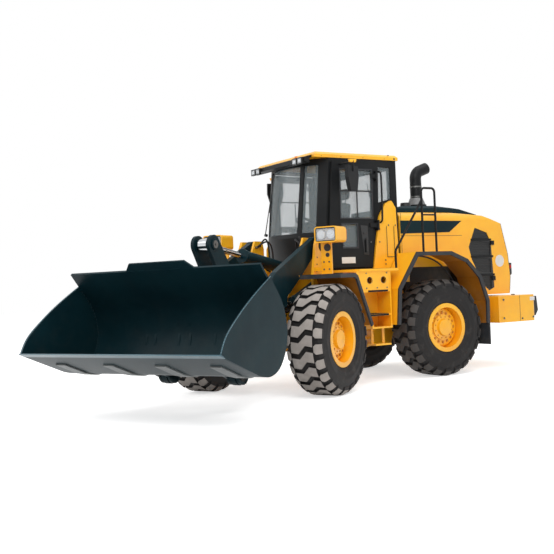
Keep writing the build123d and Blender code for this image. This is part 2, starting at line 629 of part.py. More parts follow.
def door(hand):
    """A door with its windows cut, its hinge straps, its handle and its mirror."""
    with BuildPart() as leaf:
        plate(DOOR, CAB_Y - 6, CAB_Y - 6 + DOOR_T)
        plate(DOOR_WINDOW, CAB_Y - 60, CAB_Y + 80, mode=Mode.SUBTRACT)
        plate(DOOR_LOW_WINDOW, CAB_Y - 60, CAB_Y + 80, mode=Mode.SUBTRACT)
        for z in DOOR_STRAPS:
            edge = -480 - 90 * (z - CAB_FLOOR - 26) / (CAB_TOP - 75 - CAB_FLOOR - 26)
            block((DOOR_HINGE[0] - 18, edge + 70), (CAB_Y - 6 + DOOR_T, CAB_Y + 60), (z - 30, z + 30))
            stand(DOOR_HINGE, z - STRAP_PIN, z + STRAP_PIN, 20)
        block((-400, -340), (CAB_Y + DOOR_T - 6, CAB_Y + DOOR_T + 24), (1900, 2080))
        # mirror on an arm from the door's upper front corner
        rod((60, CAB_Y + 30, CAB_TOP - 100), (0, CAB_Y + 290, CAB_TOP - 90), 14)
        rod((0, CAB_Y + 290, CAB_TOP - 80), (0, CAB_Y + 290, CAB_TOP - 230), 14)
        with BuildSketch(Plane(origin=(0, CAB_Y + 285, 0), x_dir=(0.94, 0.34, 0), z_dir=(0.34, -0.94, 0))) as back:
            face([(120, CAB_TOP - 150), (-130, CAB_TOP - 150), (-140, CAB_TOP - 320), (-95, CAB_TOP - 510),
                  (70, CAB_TOP - 510), (125, CAB_TOP - 320)])
        extrude(back.sketch, amount=60)
    if hand < 0:
        return mirror(leaf.part, about=Plane.XZ)
    return leaf.part


def door_panes(hand):
    """The panes of one door."""
    with BuildPart() as panes:
        plate(shifted(DOOR_WINDOW, SEAL), CAB_Y + 8, CAB_Y + 8 + GLASS)
        plate(shifted(DOOR_LOW_WINDOW, SEAL), CAB_Y + 8, CAB_Y + 8 + GLASS)
    if hand < 0:
        return mirror(panes.part, about=Plane.XZ)
    return panes.part

# ---------------------------------------------------------------- wheels
TYRE_SIDES = 26                 # flat faces round a tyre
LUGS = 16                       # round each half of its tread, those of one half between the other's
LUG_W = 60.0
LUG_ROOT = 690.0
SEAT_R = BEAD_R / cos(radians(180 / TYRE_SIDES))


def ring(radius, y):
    """An even-sided outline across the axle, at a place along it."""
    with BuildSketch(Plane.XZ.offset(-y)) as outline:
        RegularPolygon(radius, TYRE_SIDES)
    return outline.sketch.face()


TYRE_HALF = TYRE_W / 2
with BuildPart() as lug:
    slab([(-LUG_W, 6), (0, 6), (LUG_W, TYRE_HALF - 18), (0, TYRE_HALF - 18)], LUG_ROOT - 80, TYRE_R)
    with BuildSketch(Plane.YZ.offset(-LUG_W - 5)) as corner:
        face([(TYRE_HALF - 60, TYRE_R + 1), (TYRE_HALF - 17, TYRE_R + 1), (TYRE_HALF - 17, TYRE_R - 46)])
    extrude(corner.sketch, amount=2 * LUG_W + 10, mode=Mode.SUBTRACT)

with BuildPart() as tyre:
    extrude(ring(LUG_ROOT, TYRE_HALF - 60), amount=TYRE_W - 120)
    for hand in (1, -1):
        loft([ring(SEAT_R, hand * (TYRE_HALF - 59)), ring(FLANGE_R, hand * (TYRE_HALF - 50)),
              ring(FLANGE_R + 30, hand * (TYRE_HALF - 22)), ring(580, hand * TYRE_HALF),
              ring(LUG_ROOT, hand * (TYRE_HALF - 60))], ruled=True)
    extrude(ring(SEAT_R, TYRE_HALF), amount=TYRE_W, mode=Mode.SUBTRACT)
    left_lugs = [lug.part.rotate(Axis.Y, 360 * n / LUGS) for n in range(LUGS)]
    right_lugs = [piece.rotate(Axis.Z, 180).rotate(Axis.Y, 180 / LUGS) for piece in left_lugs]
    add(left_lugs + right_lugs)

RIM_T = 14.0
RIM_HALF = TYRE_W / 2 - 50
with BuildPart() as rim:
    with BuildSketch(Plane.XY) as section:
        face([(BEAD_R - RIM_T, -RIM_HALF), (FLANGE_R - 3, -RIM_HALF), (FLANGE_R - 3, -RIM_HALF - 14),
              (BEAD_R - RIM_T - 14, -RIM_HALF - 14), (BEAD_R - RIM_T - 14, 40), (260, 90), (175, 100),
              (175, 120), (270, 112), (BEAD_R - RIM_T, 66), (BEAD_R - RIM_T - 14, RIM_HALF + 14),
              (FLANGE_R - 3, RIM_HALF + 14), (FLANGE_R - 3, RIM_HALF), (BEAD_R - FIT, RIM_HALF - 8),
              (BEAD_R - FIT, -RIM_HALF + 8), (BEAD_R - RIM_T, -RIM_HALF + 4)])
    revolve(section.sketch, axis=Axis.Y)
    with BuildSketch(Plane.XY) as section:
        face([(70 + FIT, -150), (150, -150), (190, 60), (190, 140), (130, 150), (120, 190), (0, 200), (0, 64),
              (70 + FIT, 64)])
    revolve(section.sketch, axis=Axis.Y)

# ---------------------------------------------------------------- front machine: frame
FRONT_SEAT = AXLE_REACH - 259   # the arch over the front axle is 520 long from here
with BuildPart() as front_frame:
    for hand in (-1, 1):
        near = hand * FRAME_Y - PLATE / 2
        plate([(FRONT_WALL_X, FRAME_LOW), (FRONT_SEAT - 100, FRAME_LOW), (FRONT_SEAT, 985), (FRONT_SEAT + 520, 985),
               (FRONT_SEAT + 520, 1060), (FRONT_SEAT + 100, 1500), (1130, 2010), (1070, 2120), (870, 2120), (835, 2010), (835, 1800), (815, 1610),
               (700, 1540), (FRONT_WALL_X, 1200)], near, near + PLATE)
        low, high = sorted((hand * TOWER_OUT, hand * (TOWER_OUT + TOWER_T)))
        plate([(700, 1290), (700, 1540), (815, 1610), (835, 1800), (835, 2060), (870, 2120), (1070, 2120), (1130, 2010),
               (1230, 1600), (1230, 1290)], low, high)
        low, high = sorted((hand * (FRAME_Y + PLATE / 2), hand * TOWER_OUT))
        block((700, 725), (low, high), (1290, 1540))
        block((700, 960), (low, high), (1290, 1315))
        cross(PIVOT, low, high, PIN_R)
        cross(LIFT_FOOT, low, high, PIN_R)
    inner = FRAME_Y - PLATE / 2
    block((FRONT_WALL_X, FRONT_WALL_X + PLATE), (-inner, inner), (FRAME_LOW, 1200))
    rod((FRONT_WALL_X - 1, 0, AXLE_Z), (FRONT_WALL_X + PLATE + 1, 0, AXLE_Z), 110, mode=Mode.SUBTRACT)
    block((FRONT_SEAT, FRONT_SEAT + 30), (-inner, inner), (985, 1400))
    block((FRONT_SEAT + 490, FRONT_SEAT + 520), (-inner, inner), (985, 1060))
    for x in (AXLE_REACH - 140, AXLE_REACH + 140):
        block((x - 20, x + 20), (-FRAME_Y, FRAME_Y), (AXLE_SEAT, 985))
    block((640, 1080), (-inner, inner), (1500, 1540))
    for side in (-1, 1):
        low, high = sorted((side * 62, side * 92))
        tapered(TILT_FOOT, (TILT_FOOT[0] + 20, 1560), 80, 78, low, high)
    cross(TILT_FOOT, -92, 92, PIN_R)
    for level in HINGE_LEVELS:
        with BuildSketch(Plane.XY.offset(level - LUG_T / 2)) as lug:
            Circle(HINGE_EAR_R)
            with Locations((FRONT_WALL_X - 5, 260), (FRONT_WALL_X - 5, -260)):
                Circle(40)
            make_hull()
            Circle(HINGE_PIN_R + FIT, mode=Mode.SUBTRACT)
        extrude(lug.sketch, amount=LUG_T)
    for hand in (-1, 1):
        for side in (-1, 1):
            with BuildSketch(Plane.XY.offset(STEER_Z + side * 60 - 12)) as ear:
                with Locations((STEER_HEAD[0], hand * STEER_HEAD[1])):
                    Circle(55)
                with Locations((FRONT_WALL_X - 5, hand * STEER_HEAD[1])):
                    Rectangle(10, 150)
                make_hull()
            extrude(ear.sketch, amount=24)

front_axle = axle(AXLE_REACH)

with BuildPart() as front_axle_shaft:
    add(front_axle.part)
    rod((SHAFT_JOINT_X, 0, AXLE_Z), (AXLE_REACH - 150, 0, AXLE_Z), 45)
    rod((FRONT_WALL_X - 60, 0, AXLE_Z), (FRONT_WALL_X + 60, 0, AXLE_Z), 90)

FRONT_ARCH = [(AXLE_REACH + 101, 1592), (AXLE_REACH - 314, 1592), (AXLE_REACH - 399, 1560),
              (AXLE_REACH - 834, 880)]
with BuildPart() as front_fenders:
    with BuildSketch(Plane.XZ.offset(-FENDER_OUT)) as skin:
        shell_band(FRONT_ARCH, ARCH_T)
    extrude(skin.sketch, amount=FENDER_OUT - TOWER_OUT - TOWER_T)
    mirror(about=Plane.XZ)

with BuildPart() as front_fender_edges:
    with BuildSketch(Plane.XZ.offset(-FENDER_OUT - EDGE_W)) as skin:
        shell_band(FRONT_ARCH, 2.4 * ARCH_T)
    extrude(skin.sketch, amount=EDGE_W)
    nose = FRONT_ARCH[0][0]
    block((nose, nose + EDGE_W), (660, FENDER_OUT + EDGE_W), (1592 - 2.4 * ARCH_T, 1592))
    mirror(about=Plane.XZ)

with BuildPart() as headlamps:
    block((1190, 1215), (760, 920), (1592, 2060))
    block((1080, 1215), (TOWER_OUT + TOWER_T, 775), (1640, 1690))
    with BuildSketch(Plane.YZ.offset(1080)) as lamp:
        with Locations((920, 2125)):
            RectangleRounded(330, 215, 40)
    extrude(lamp.sketch, amount=300)
    with BuildSketch(Plane.YZ.offset(1320)) as mouth:
        with Locations((920, 2125)):
            RectangleRounded(300, 185, 26)
    extrude(mouth.sketch, amount=70, mode=Mode.SUBTRACT)
    for y in (848, 992):
        rod((1315, y, 2125), (1362, y, 2125), 62)
    mirror(about=Plane.XZ)

# ---------------------------------------------------------------- boom and linkage
with BuildPart() as boom:
    for hand in (-1, 1):
        low = hand * ARM_Y - ARM_T / 2
        plate([(985, 2122), (2080, 1640), (2240, 1520), (3105, 520), (2945, 335), (2050, 1045), (1930, 1040),
               (1850, 1180), (1800, 1325), (1480, 1535), (1000, 1885)], low, low + ARM_T)
        cross(PIVOT, low, low + ARM_T, 124)
        cross(BUCKET_PIN, low, low + ARM_T, 125)
        cross(LIFT_HEAD, low, low + ARM_T, 92)
        cross(PIVOT, low - 1, low + ARM_T + 1, PIN_R + FIT, mode=Mode.SUBTRACT)
        cross(BUCKET_PIN, low - 1, low + ARM_T + 1, PIN_R + FIT, mode=Mode.SUBTRACT)
    cross(TUBE, -ARM_Y + ARM_T / 2, ARM_Y - ARM_T / 2, 100)
    for side in (-1, 1):
        low, high = sorted((side * (CRANK_Y + CRANK_T + CLEAR), side * (CRANK_Y + CRANK_T + CLEAR + 40)))
        tapered(CRANK_PIN, TUBE, 95, 98, low, high)
    cross(CRANK_PIN, -CRANK_Y - CRANK_T - CLEAR, CRANK_Y + CRANK_T + CLEAR, PIN_R)

with BuildPart() as bell_crank:
    for side in (-1, 1):
        low, high = sorted((side * CRANK_Y, side * (CRANK_Y + CRANK_T)))
        tapered(CRANK_PIN, CRANK_TOP, 140, 120, low, high)
        tapered(CRANK_PIN, CRANK_FOOT, 125, 85, low, high)
        cross(CRANK_TOP, *sorted((side * (CRANK_Y - 14), side * (CRANK_Y + CRANK_T + 16))), 70)
    cross(CRANK_PIN, -CRANK_Y, CRANK_Y, 105)
    cross(CRANK_FOOT, -CRANK_Y, CRANK_Y, PIN_R)
    cross(CRANK_PIN, -200, 200, PIN_R + FIT, mode=Mode.SUBTRACT)

with BuildPart() as bucket_link:
    tapered(CRANK_FOOT, BUCKET_TOP_PIN, 82, 78, -50, 50)
    cross(CRANK_FOOT, -60, 60, PIN_R + FIT, mode=Mode.SUBTRACT)

BUCKET_SHELL = [(4560, 765), (3950, 528), (3720, 492), (3520, 560), (3375, 740), (3320, 980), (3400, 1270), (3620, 1545),
                (3775, 1722)]
with BuildPart() as cutting_edge:
    plate([(4560, 765), (4650, 800), (4640, 812), (4300, 680), (4310, 668)], -BUCKET_HALF, BUCKET_HALF)

with BuildPart() as bucket:
    with BuildSketch(Plane.XZ.offset(-BUCKET_HALF + BUCKET_T)) as skin:
        shell_band(BUCKET_SHELL, BUCKET_T, Side.RIGHT)
    extrude(skin.sketch, amount=2 * (BUCKET_HALF - BUCKET_T))
    for hand in (-1, 1):
        low, high = sorted((hand * BUCKET_HALF, hand * (BUCKET_HALF - BUCKET_T)))
        plate([(4560, 765), (3950, 528), (3720, 492), (3520, 560), (3375, 740), (3320, 980), (3400, 1270),
               (3620, 1570), (3990, 1365), (4280, 1175), (4510, 990), (4625, 815)], low, high)
        low, high = sorted((hand * (ARM_Y - ARM_T / 2 - CLEAR), hand * (ARM_Y - ARM_T / 2 - CLEAR - 35)))
        ear = [(2960, 310), (3535, 560), (3388, 745), (3334, 985), (3050, 545), (2930, 500)]
        plate(ear, low, high)
        cross(BUCKET_PIN, low, high, 118)
        low, high = sorted((hand * (ARM_Y + ARM_T / 2 + CLEAR), hand * (ARM_Y + ARM_T / 2 + CLEAR + 35)))
        plate(ear, low, high)
        cross(BUCKET_PIN, low, high, 118)
        cross(BUCKET_PIN, *sorted((hand * (ARM_Y - ARM_T / 2 - CLEAR), hand * (ARM_Y + ARM_T / 2 + CLEAR))), PIN_R)
        low, high = sorted((hand * 66, hand * 100))
        plate([(3020, 810), (3080, 780), (3378, 800), (3335, 985), (3358, 1065), (3100, 945), (3040, 930)],
              low, high)
        cross(BUCKET_TOP_PIN, low, high, 88)
    with BuildSketch(Plane(origin=(3775, 0, 1722), x_dir=(0, 1, 0), z_dir=(0.79, 0, -0.61))) as guard:
        with BuildLine() as line:
            Polyline((-500, -8), (-400, 100), (400, 100), (500, -8), close=True)
        make_face(line.edges())
    extrude(guard.sketch, amount=20)
    add(cutting_edge.part, mode=Mode.SUBTRACT)


# ---------------------------------------------------------------- cylinders
BORE_FROM = 115.0               # from the foot's pin to the bottom of a bore


def barrel(foot, head, length, radius, middle, across, eye, bore):
    """A cylinder's barrel with the eye at its foot."""
    start = (foot[0], middle, foot[1])
    end = (head[0], middle, head[1])
    with BuildPart() as tube:
        rod(along(start, end, eye + 5), along(start, end, length), radius)
        rod(along(start, end, length - 60), along(start, end, length), radius + 10)
        cross(foot, middle - across / 2, middle + across / 2, eye)
        rod(start, along(start, end, eye + 40), radius * 0.7)
        cross(foot, middle - across / 2 - 90, middle + across / 2 + 90, PIN_R + FIT, mode=Mode.SUBTRACT)
        rod(along(start, end, BORE_FROM), along(start, end, length + 1), bore + FIT, mode=Mode.SUBTRACT)
    return tube


def forked_ram(foot, head, inner, radius, middle):
    """A lift cylinder's rod, with a fork that straddles the boom arm; inner is where it starts."""
    start = (foot[0], middle, foot[1])
    end = (head[0], middle, head[1])
    reach = hypot(head[0] - foot[0], head[1] - foot[1])
    neck = along(start, end, reach - FORK)
    slope = Vector(*end) - Vector(*start)
    with BuildPart() as shaft:
        rod(along(start, end, inner), neck, radius)
        with BuildSketch(Plane(origin=neck, x_dir=(0, 1, 0), z_dir=slope)) as yoke:
            RectangleRounded(ARM_T + 50, 64, 12)
        extrude(yoke.sketch, amount=-28)
        for side in (-1, 1):
            low, high = sorted((middle + side * (ARM_T / 2 + 7), middle + side * (ARM_T / 2 + 25)))
            tapered(head, (neck[0] - 10 * slope.X / slope.length, neck[2]), 48, 32, low, high)
    return shaft


def ram(foot, head, inner, radius, middle, across, eye):
    """A cylinder's rod, from inside its barrel to the eye on its end."""
    start = (foot[0], middle, foot[1])
    end = (head[0], middle, head[1])
    with BuildPart() as shaft:
        rod(along(start, end, inner), end, radius)
        cross(head, middle - across / 2, middle + across / 2, eye)
    return shaft


LIFT_BARREL = 830.0
TILT_BARREL = 1240.0
STEER_BARREL = 600.0
STEER_ROD = 645.0               # from its inner end to its eye
LIFT_INNER = 180.0              # where the rods start at rest, from the foot's pin
TILT_INNER = 735.0
FORK = 245.0                    # from a lift rod's yoke to its eyes
ROD_R = 38.0
LIFT_ROD_R = 34.0
STEER_ROD_R = 25.0
lift_barrels = [barrel(LIFT_FOOT, LIFT_HEAD, LIFT_BARREL, 66, hand * ARM_Y, 100, 72, LIFT_ROD_R)
                for hand in (1, -1)]
lift_rods = [forked_ram(LIFT_FOOT, LIFT_HEAD, LIFT_INNER, LIFT_ROD_R, hand * ARM_Y) for hand in (1, -1)]
tilt_barrel = barrel(TILT_FOOT, CRANK_TOP, TILT_BARREL, 84, 0, 110, 80, ROD_R)
tilt_rod = ram(TILT_FOOT, CRANK_TOP, TILT_INNER, ROD_R, 0, 120, 80)


def turned(point):
    """A point of the front machine, in plan, once that machine stands turned."""
    a = radians(TURN)
    return (point[0] * cos(a) - point[1] * sin(a), point[0] * sin(a) + point[1] * cos(a))


def level_barrel(foot, head, length, radius):
    """A steering cylinder's barrel, lying level between two points in plan."""
    start = (foot[0], foot[1], STEER_Z)
    end = (head[0], head[1], STEER_Z)
    with BuildPart() as tube:
        rod(along(start, end, 40), along(start, end, length), radius)
        stand(foot, STEER_Z - 40, STEER_Z + 40, 46)
        stand(foot, STEER_Z - 50, STEER_Z + 50, 25 + FIT, mode=Mode.SUBTRACT)
        rod(along(start, end, 100), along(start, end, length + 1), STEER_ROD_R + FIT, mode=Mode.SUBTRACT)
    return tube


def level_ram(foot, head):
    """A steering cylinder's rod and its eye."""
    start = (foot[0], foot[1], STEER_Z)
    end = (head[0], head[1], STEER_Z)
    reach = hypot(head[0] - foot[0], head[1] - foot[1])
    with BuildPart() as shaft:
        rod(along(start, end, reach - STEER_ROD), along(start, end, reach - 20), STEER_ROD_R)
        stand(head, STEER_Z - 36, STEER_Z + 36, 44)
    return shaft


steer_barrels = []
steer_rods = []
for hand in (1, -1):
    foot = (STEER_FOOT[0], hand * STEER_FOOT[1])
    head = turned((STEER_HEAD[0], hand * STEER_HEAD[1]))
    steer_barrels.append(level_barrel(foot, head, STEER_BARREL, 46))
    steer_rods.append(level_ram(foot, head))

# the shaft between the two machines swings by half the steering angle
SHAFT_END = 585.0
with BuildPart() as centre_shaft:
    a = radians(TURN / 2)
    start = (-SHAFT_JOINT_X, 0, AXLE_Z)
    end = (-SHAFT_JOINT_X + cos(a), sin(a), AXLE_Z)
    rod(along(start, end, 1), along(start, end, SHAFT_END), 42)
    with Locations(start):
        Sphere(JOINT_R)

# ---------------------------------------------------------------- writing


def together(*pieces):
    """Like pieces that share one node."""
    with BuildPart() as both:
        for piece in pieces:
            add(piece.part)
    return both


cab_frame = together(cab_frame, visor)
cab_glass = together(windscreen, side_glass)
hood_trim = together(hood_cap, hood_stripes)

REAR = {"rear_frame": rear_frame, "rear_axle": rear_axle, "engine_block": engine_block, "gearbox": gearbox,
        "centre_shaft": centre_shaft, "counterweight": counterweight, "rear_bumper": rear_bumper,
        "rear_fenders": rear_fenders, "rear_fender_edges": rear_fender_edges, "side_ladders": side_ladders, "handrails": handrails,
        "hood_shell": hood_shell, "hood_trim": hood_trim, "side_grilles": side_grilles,
        "rear_grille": rear_grille, "exhaust": exhaust, "tail_lamps": tail_lamps, "fuel_tank": fuel_tank,
        "cab_frame": cab_frame, "cab_side_panels": cab_side_panels, "cab_glass": cab_glass, "cab_floor": cab_floor, "roof": roof,
        "seat": seat, "console": console,
        "steer_barrel_left": steer_barrels[0], "steer_barrel_right": steer_barrels[1],
        "steer_rod_left": steer_rods[0], "steer_rod_right": steer_rods[1]}
FRONT = {"front_frame": front_frame, "front_axle": front_axle_shaft, "front_fenders": front_fenders,
         "front_fender_edges": front_fender_edges, "headlamps": headlamps,
         "boom": boom, "bell_crank": bell_crank, "bucket_link": bucket_link, "bucket": bucket,
         "cutting_edge": cutting_edge, "tilt_barrel": tilt_barrel, "tilt_rod": tilt_rod,
         "lift_barrels": together(*lift_barrels), "lift_rods": together(*lift_rods)}

solids = {name: piece.part for name, piece in REAR.items()}
solids |= {name: piece.part.rotate(Axis.Z, TURN) for name, piece in FRONT.items()}
for name, hand in (("left", 1), ("right", -1)):
    solids["door_" + name] = door(hand)
    solids["door_glass_" + name] = door_panes(hand)
    for end, x in (("rear", -AXLE_REACH), ("front", AXLE_REACH)):
        for kind, piece in (("tyre", tyre), ("rim", rim)):
            place = Location((x, hand * WHEEL_Y, AXLE_Z), (0, 0, 0 if hand > 0 else 180))
            solid = piece.part.moved(place)
            solids[f"{kind}_{end}_{name}"] = solid if end == "rear" else solid.rotate(Axis.Z, TURN)

# the origin is on the ground, in the middle of the whole machine's length and width as it stands
reach = [solid.bounding_box() for solid in solids.values()]
MIDDLE = ((min(b.min.X for b in reach) + max(b.max.X for b in reach)) / 2,
          (min(b.min.Y for b in reach) + max(b.max.Y for b in reach)) / 2,
          min(b.min.Z for b in reach))

os.makedirs("parts", exist_ok=True)
for name, solid in solids.items():
    placed = solid.moved(Location((-MIDDLE[0], -MIDDLE[1], -MIDDLE[2])))
    placed.label = name
    export_step(placed, f"parts/{name}.step")
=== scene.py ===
# %% [markdown]
# # A wheel loader, dressed for the studio
# The steel of this machine is already there as a solid model. This lesson adds what a modeller
# adds afterwards: rubber with its lugs, glass, lamps, bolts, hoses, and paint that has been outdoors.

# %% Tools of the lesson
import json
from math import atan2, cos, pi, radians, sin, tau

import bmesh
import bpy
from mathutils import Matrix, Vector


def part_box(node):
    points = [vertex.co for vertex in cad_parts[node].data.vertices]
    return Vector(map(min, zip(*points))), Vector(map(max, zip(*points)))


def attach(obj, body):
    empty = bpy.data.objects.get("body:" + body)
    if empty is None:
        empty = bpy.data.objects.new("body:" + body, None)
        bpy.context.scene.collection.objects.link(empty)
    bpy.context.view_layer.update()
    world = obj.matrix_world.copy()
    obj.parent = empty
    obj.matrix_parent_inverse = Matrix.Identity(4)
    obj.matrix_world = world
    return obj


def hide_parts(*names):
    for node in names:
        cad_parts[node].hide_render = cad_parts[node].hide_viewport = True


# %% [markdown]
# ## The solid model
# Each solid arrives as an object in its place, with the joints that it moves on. Nothing of it is
# drawn again here unless a piece needs a finer form than its solid has.

# %% The solid model
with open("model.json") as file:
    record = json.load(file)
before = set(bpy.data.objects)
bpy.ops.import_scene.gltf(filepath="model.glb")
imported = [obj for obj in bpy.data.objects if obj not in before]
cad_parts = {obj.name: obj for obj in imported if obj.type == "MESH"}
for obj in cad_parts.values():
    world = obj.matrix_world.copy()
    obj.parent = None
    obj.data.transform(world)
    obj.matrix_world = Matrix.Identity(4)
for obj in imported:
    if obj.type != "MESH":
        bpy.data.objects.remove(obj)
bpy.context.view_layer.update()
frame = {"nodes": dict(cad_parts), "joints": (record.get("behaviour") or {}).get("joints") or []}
nodes = frame["nodes"]
joints = {joint["name"]: joint for joint in frame["joints"]}
print("solids:", len(nodes), "joints:", len(joints))

# %% [markdown]
# The machine bends in its middle, so it has two straight halves and a kink between them. It is
# easiest to think of each half lying straight: two matrices carry a point of either half to its
# place. Both start on the ground under the steering hinge, with X ahead and Y to the left. The
# front half is turned by the angle that its own boom pivot shows.

# %% Two straight halves
hinge = joints["steer"]["pos_m"]
across = joints["boom_lift"]["axis"]
TURN = atan2(across[0], -across[1])
REAR = Matrix.Translation((hinge[0], hinge[1], 0))
FRONT = REAR @ Matrix.Rotation(TURN, 4, "Z")
print("front half turned by", round(TURN * 180 / pi, 1), "degrees")

# %% [markdown]
# ## The camera
# A long lens at the height of the wheels, ahead and to the left. It is rolled a little, as one that
# is held by hand, so the camera's three axes are written out as a matrix.

# %% Camera
LENS = 55.84  # millimetres, on a film 36 wide
EYE = Vector((7.4172, 10.8683, 1.473))
YAW, PITCH, ROLL = radians(-121.78), radians(0.542), radians(-2.4258)
ahead = Vector((cos(YAW) * cos(PITCH), sin(YAW) * cos(PITCH), sin(PITCH)))
level = ahead.cross(Vector((0, 0, 1))).normalized()
upright = level.cross(ahead)
right = cos(ROLL) * level + sin(ROLL) * upright
above = -sin(ROLL) * level + cos(ROLL) * upright
lens = bpy.data.cameras.new("camera")
lens.lens = LENS
lens.sensor_width = 36
lens.clip_end = 200
camera = bpy.data.objects.new("camera", lens)
bpy.context.scene.collection.objects.link(camera)
camera.matrix_world = REAR @ Matrix((
    (right.x, above.x, -ahead.x, EYE.x),
    (right.y, above.y, -ahead.y, EYE.y),
    (right.z, above.z, -ahead.z, EYE.z),
    (0, 0, 0, 1)))
bpy.context.scene.camera = camera
print("camera", round((EYE - Vector((0, 0, EYE.z))).length, 1), "m from the hinge")

# %% [markdown]
# ## Paint and rubber written as sums
# A material is a small calculation that runs at every point of a surface. Wrapping a socket in a
# class with the usual operators lets that calculation be written as plain arithmetic, and each
# operator adds its own Math node.

# %% Sockets that add up
class Value:
    """A number that changes over the surface: a node's socket with arithmetic on it."""

    def __init__(self, recipe, socket):
        self.recipe = recipe
        self.socket = socket

    def maths(self, operation, *others):
        """Adds one Math node."""
        return self.recipe.node("ShaderNodeMath", {"operation": operation}, self, *others)

    def __add__(self, other): return self.maths("ADD", other)
    def __radd__(self, other): return self.maths("ADD", other)
    def __sub__(self, other): return self.maths("SUBTRACT", other)
    def __rsub__(self, other): return (self * -1) + other
    def __mul__(self, other): return self.maths("MULTIPLY", other)
    def __rmul__(self, other): return self.maths("MULTIPLY", other)
    def or_else(self, other): return self.maths("MAXIMUM", other)
    def clamp(self): return self.recipe.node("ShaderNodeClamp", {}, self)

    def between(self, low, high):
        """0 below low, 1 above high, smooth between."""
        return self.recipe.node("ShaderNodeMapRange", {"interpolation_type": "SMOOTHSTEP"}, self, low, high, 0.0, 1.0)

# %% [markdown]
# A recipe holds the nodes while they are put together. Every node but the shader comes from one
# method: its settings go first, because they decide which sockets it has, and then its sockets are
# filled with numbers, colours or links.

# %% Recipes
class Recipe:
    """The nodes of a material, or of the world, under construction."""

    def __init__(self, name, owner=None, shader="Principled BSDF"):
        self.material = owner or bpy.data.materials.new(name)
        self.material.use_nodes = True
        self.tree = self.material.node_tree
        self.shader = self.tree.nodes[shader]
        self.place = Value(self, self.tree.nodes.new("ShaderNodeTexCoord").outputs["Object"])

    def put(self, socket, value):
        """A link where the value changes over the surface, and a constant where it doesn't."""
        if isinstance(value, Value):
            self.tree.links.new(value.socket, socket)
        else:
            socket.default_value = (*value, 1) if socket.type == "RGBA" else value

    def node(self, kind, settings, *inputs, give=0, **named):
        """One node: settings first, then its sockets in order or by name. Gives one output back."""
        made = self.tree.nodes.new(kind)
        for name, value in settings.items():
            setattr(made, name, value)
        for socket, value in zip([s for s in made.inputs if s.enabled], inputs):
            self.put(socket, value)
        for name, value in named.items():
            self.put(made.inputs[name], value)
        return Value(self, made.outputs[give])

    def noise(self, scale, detail=3.0, roughness=0.55, where=None):
        """Cloudy noise, 0 to 1, about scale lumps a metre."""
        return self.node("ShaderNodeTexNoise", {}, where or self.place, scale, detail, roughness)

    def mix(self, share, first, second):
        """One colour where share is 0, another where it is 1."""
        return self.node("ShaderNodeMix", {"data_type": "RGBA"}, share, first, second, give=2)

    def height(self):
        """How high a point lies over the ground, in metres."""
        return self.node("ShaderNodeSeparateXYZ", {}, self.place, give="Z")

    def bump(self, value, distance, strength=1.0):
        """Lets light fall as if the surface had this relief."""
        return self.set(Normal=self.node("ShaderNodeBump", {}, Strength=strength, Distance=distance, Height=value))

    def set(self, **values):
        """Puts numbers, colours or values on the shader's own sockets."""
        for name, value in values.items():
            self.put(self.shader.inputs[name.replace("_", " ")], value)
        return self

# %% [markdown]
# ## Paint
# Machine paint is a thick gloss coat over primed plate. Outdoors it goes a little uneven, and dust
# settles low down and in patches. It could be one flat colour, but a large plate of one colour looks
# like plastic. One function makes every paint of the machine, so that all of them age the same way.

# %% Paint maker
DRY_DUST = (0.30, 0.24, 0.16)


def paint(name, colour, shade, dusty=0.22, gloss=0.32, coat=0.35, shine=0.5):
    """A gloss coat that drifts between two near colours, with dust where the machine stands low."""
    recipe = Recipe(name)
    base = recipe.mix(recipe.noise(1.7, 4.0).between(0.35, 0.75), colour, shade)
    low = 1 - recipe.height().between(0.15, 1.7)
    settled = (recipe.noise(6.0, 5.0, 0.65).between(0.42, 0.72) * (low * 0.8 + 0.2) * dusty).clamp()
    fine = recipe.noise(160.0, 2.0)
    recipe.set(Base_Color=recipe.mix(settled, base, DRY_DUST), Roughness=settled * 0.9 + gloss + fine * 0.06,
               Coat_Weight=coat, Coat_Roughness=0.12, Specular_IOR_Level=shine)
    return recipe.bump(recipe.noise(300.0, 2.0), 0.0002, 0.35).material


yellow = paint("machine_yellow", (0.95, 0.48, 0.010), (0.90, 0.40, 0.007), dusty=0.14)
teal = paint("linkage_teal", (0.004, 0.020, 0.026), (0.003, 0.014, 0.019),
             dusty=0.02, gloss=0.36, coat=0.0, shine=0.12)
# A paler teal: wear on the cutting edge, and a painted highlight along the bucket's side edges.
teal_wear_and_highlight = paint("teal_wear_and_highlight", (0.030, 0.095, 0.125), (0.022, 0.070, 0.095), dusty=0.05, gloss=0.30, coat=0.1)
black = paint("frame_black", (0.008, 0.009, 0.010), (0.012, 0.013, 0.014),
              dusty=0.04, gloss=0.40, coat=0.0, shine=0.15)
under = paint("under_black", (0.02, 0.02, 0.02), (0.03, 0.028, 0.026), dusty=0.5, gloss=0.55, coat=0.0)
# A darker orange for the wheel nuts: painted shade, as they sit deep in the dished rim.
nut_shaded_orange = paint("nut_shaded_orange", (0.60, 0.22, 0.010), (0.45, 0.15, 0.008), dusty=0.3, gloss=0.45, coat=0.1)
print("paints:", len(bpy.data.materials))

# %% [markdown]
# ## Rubber
# Rubber is dark, matt and a little brown where dust has dried on it. The tread carries pale dust on
# the faces that touch the ground. Noise alone would dust the grooves too, so a number on each vertex
# of the tyre's mesh marks those faces, and the dust reads it.

# %% Rubber
DRIED_MUD = (0.16, 0.13, 0.10)
GROUND_DUST = (0.42, 0.38, 0.35)


def rubber(name, colour, dusty, rough):
    """Matt rubber with dried mud in patches."""
    recipe = Recipe(name)
    clouds = recipe.noise(9.0, 5.0, 0.6).between(0.45, 0.75)
    recipe.set(Base_Color=recipe.mix(clouds * dusty, colour, DRIED_MUD),
               Roughness=clouds * 0.2 + rough, Specular_IOR_Level=0.25)
    return recipe.bump(recipe.noise(220.0, 3.0), 0.0006, 0.4).material


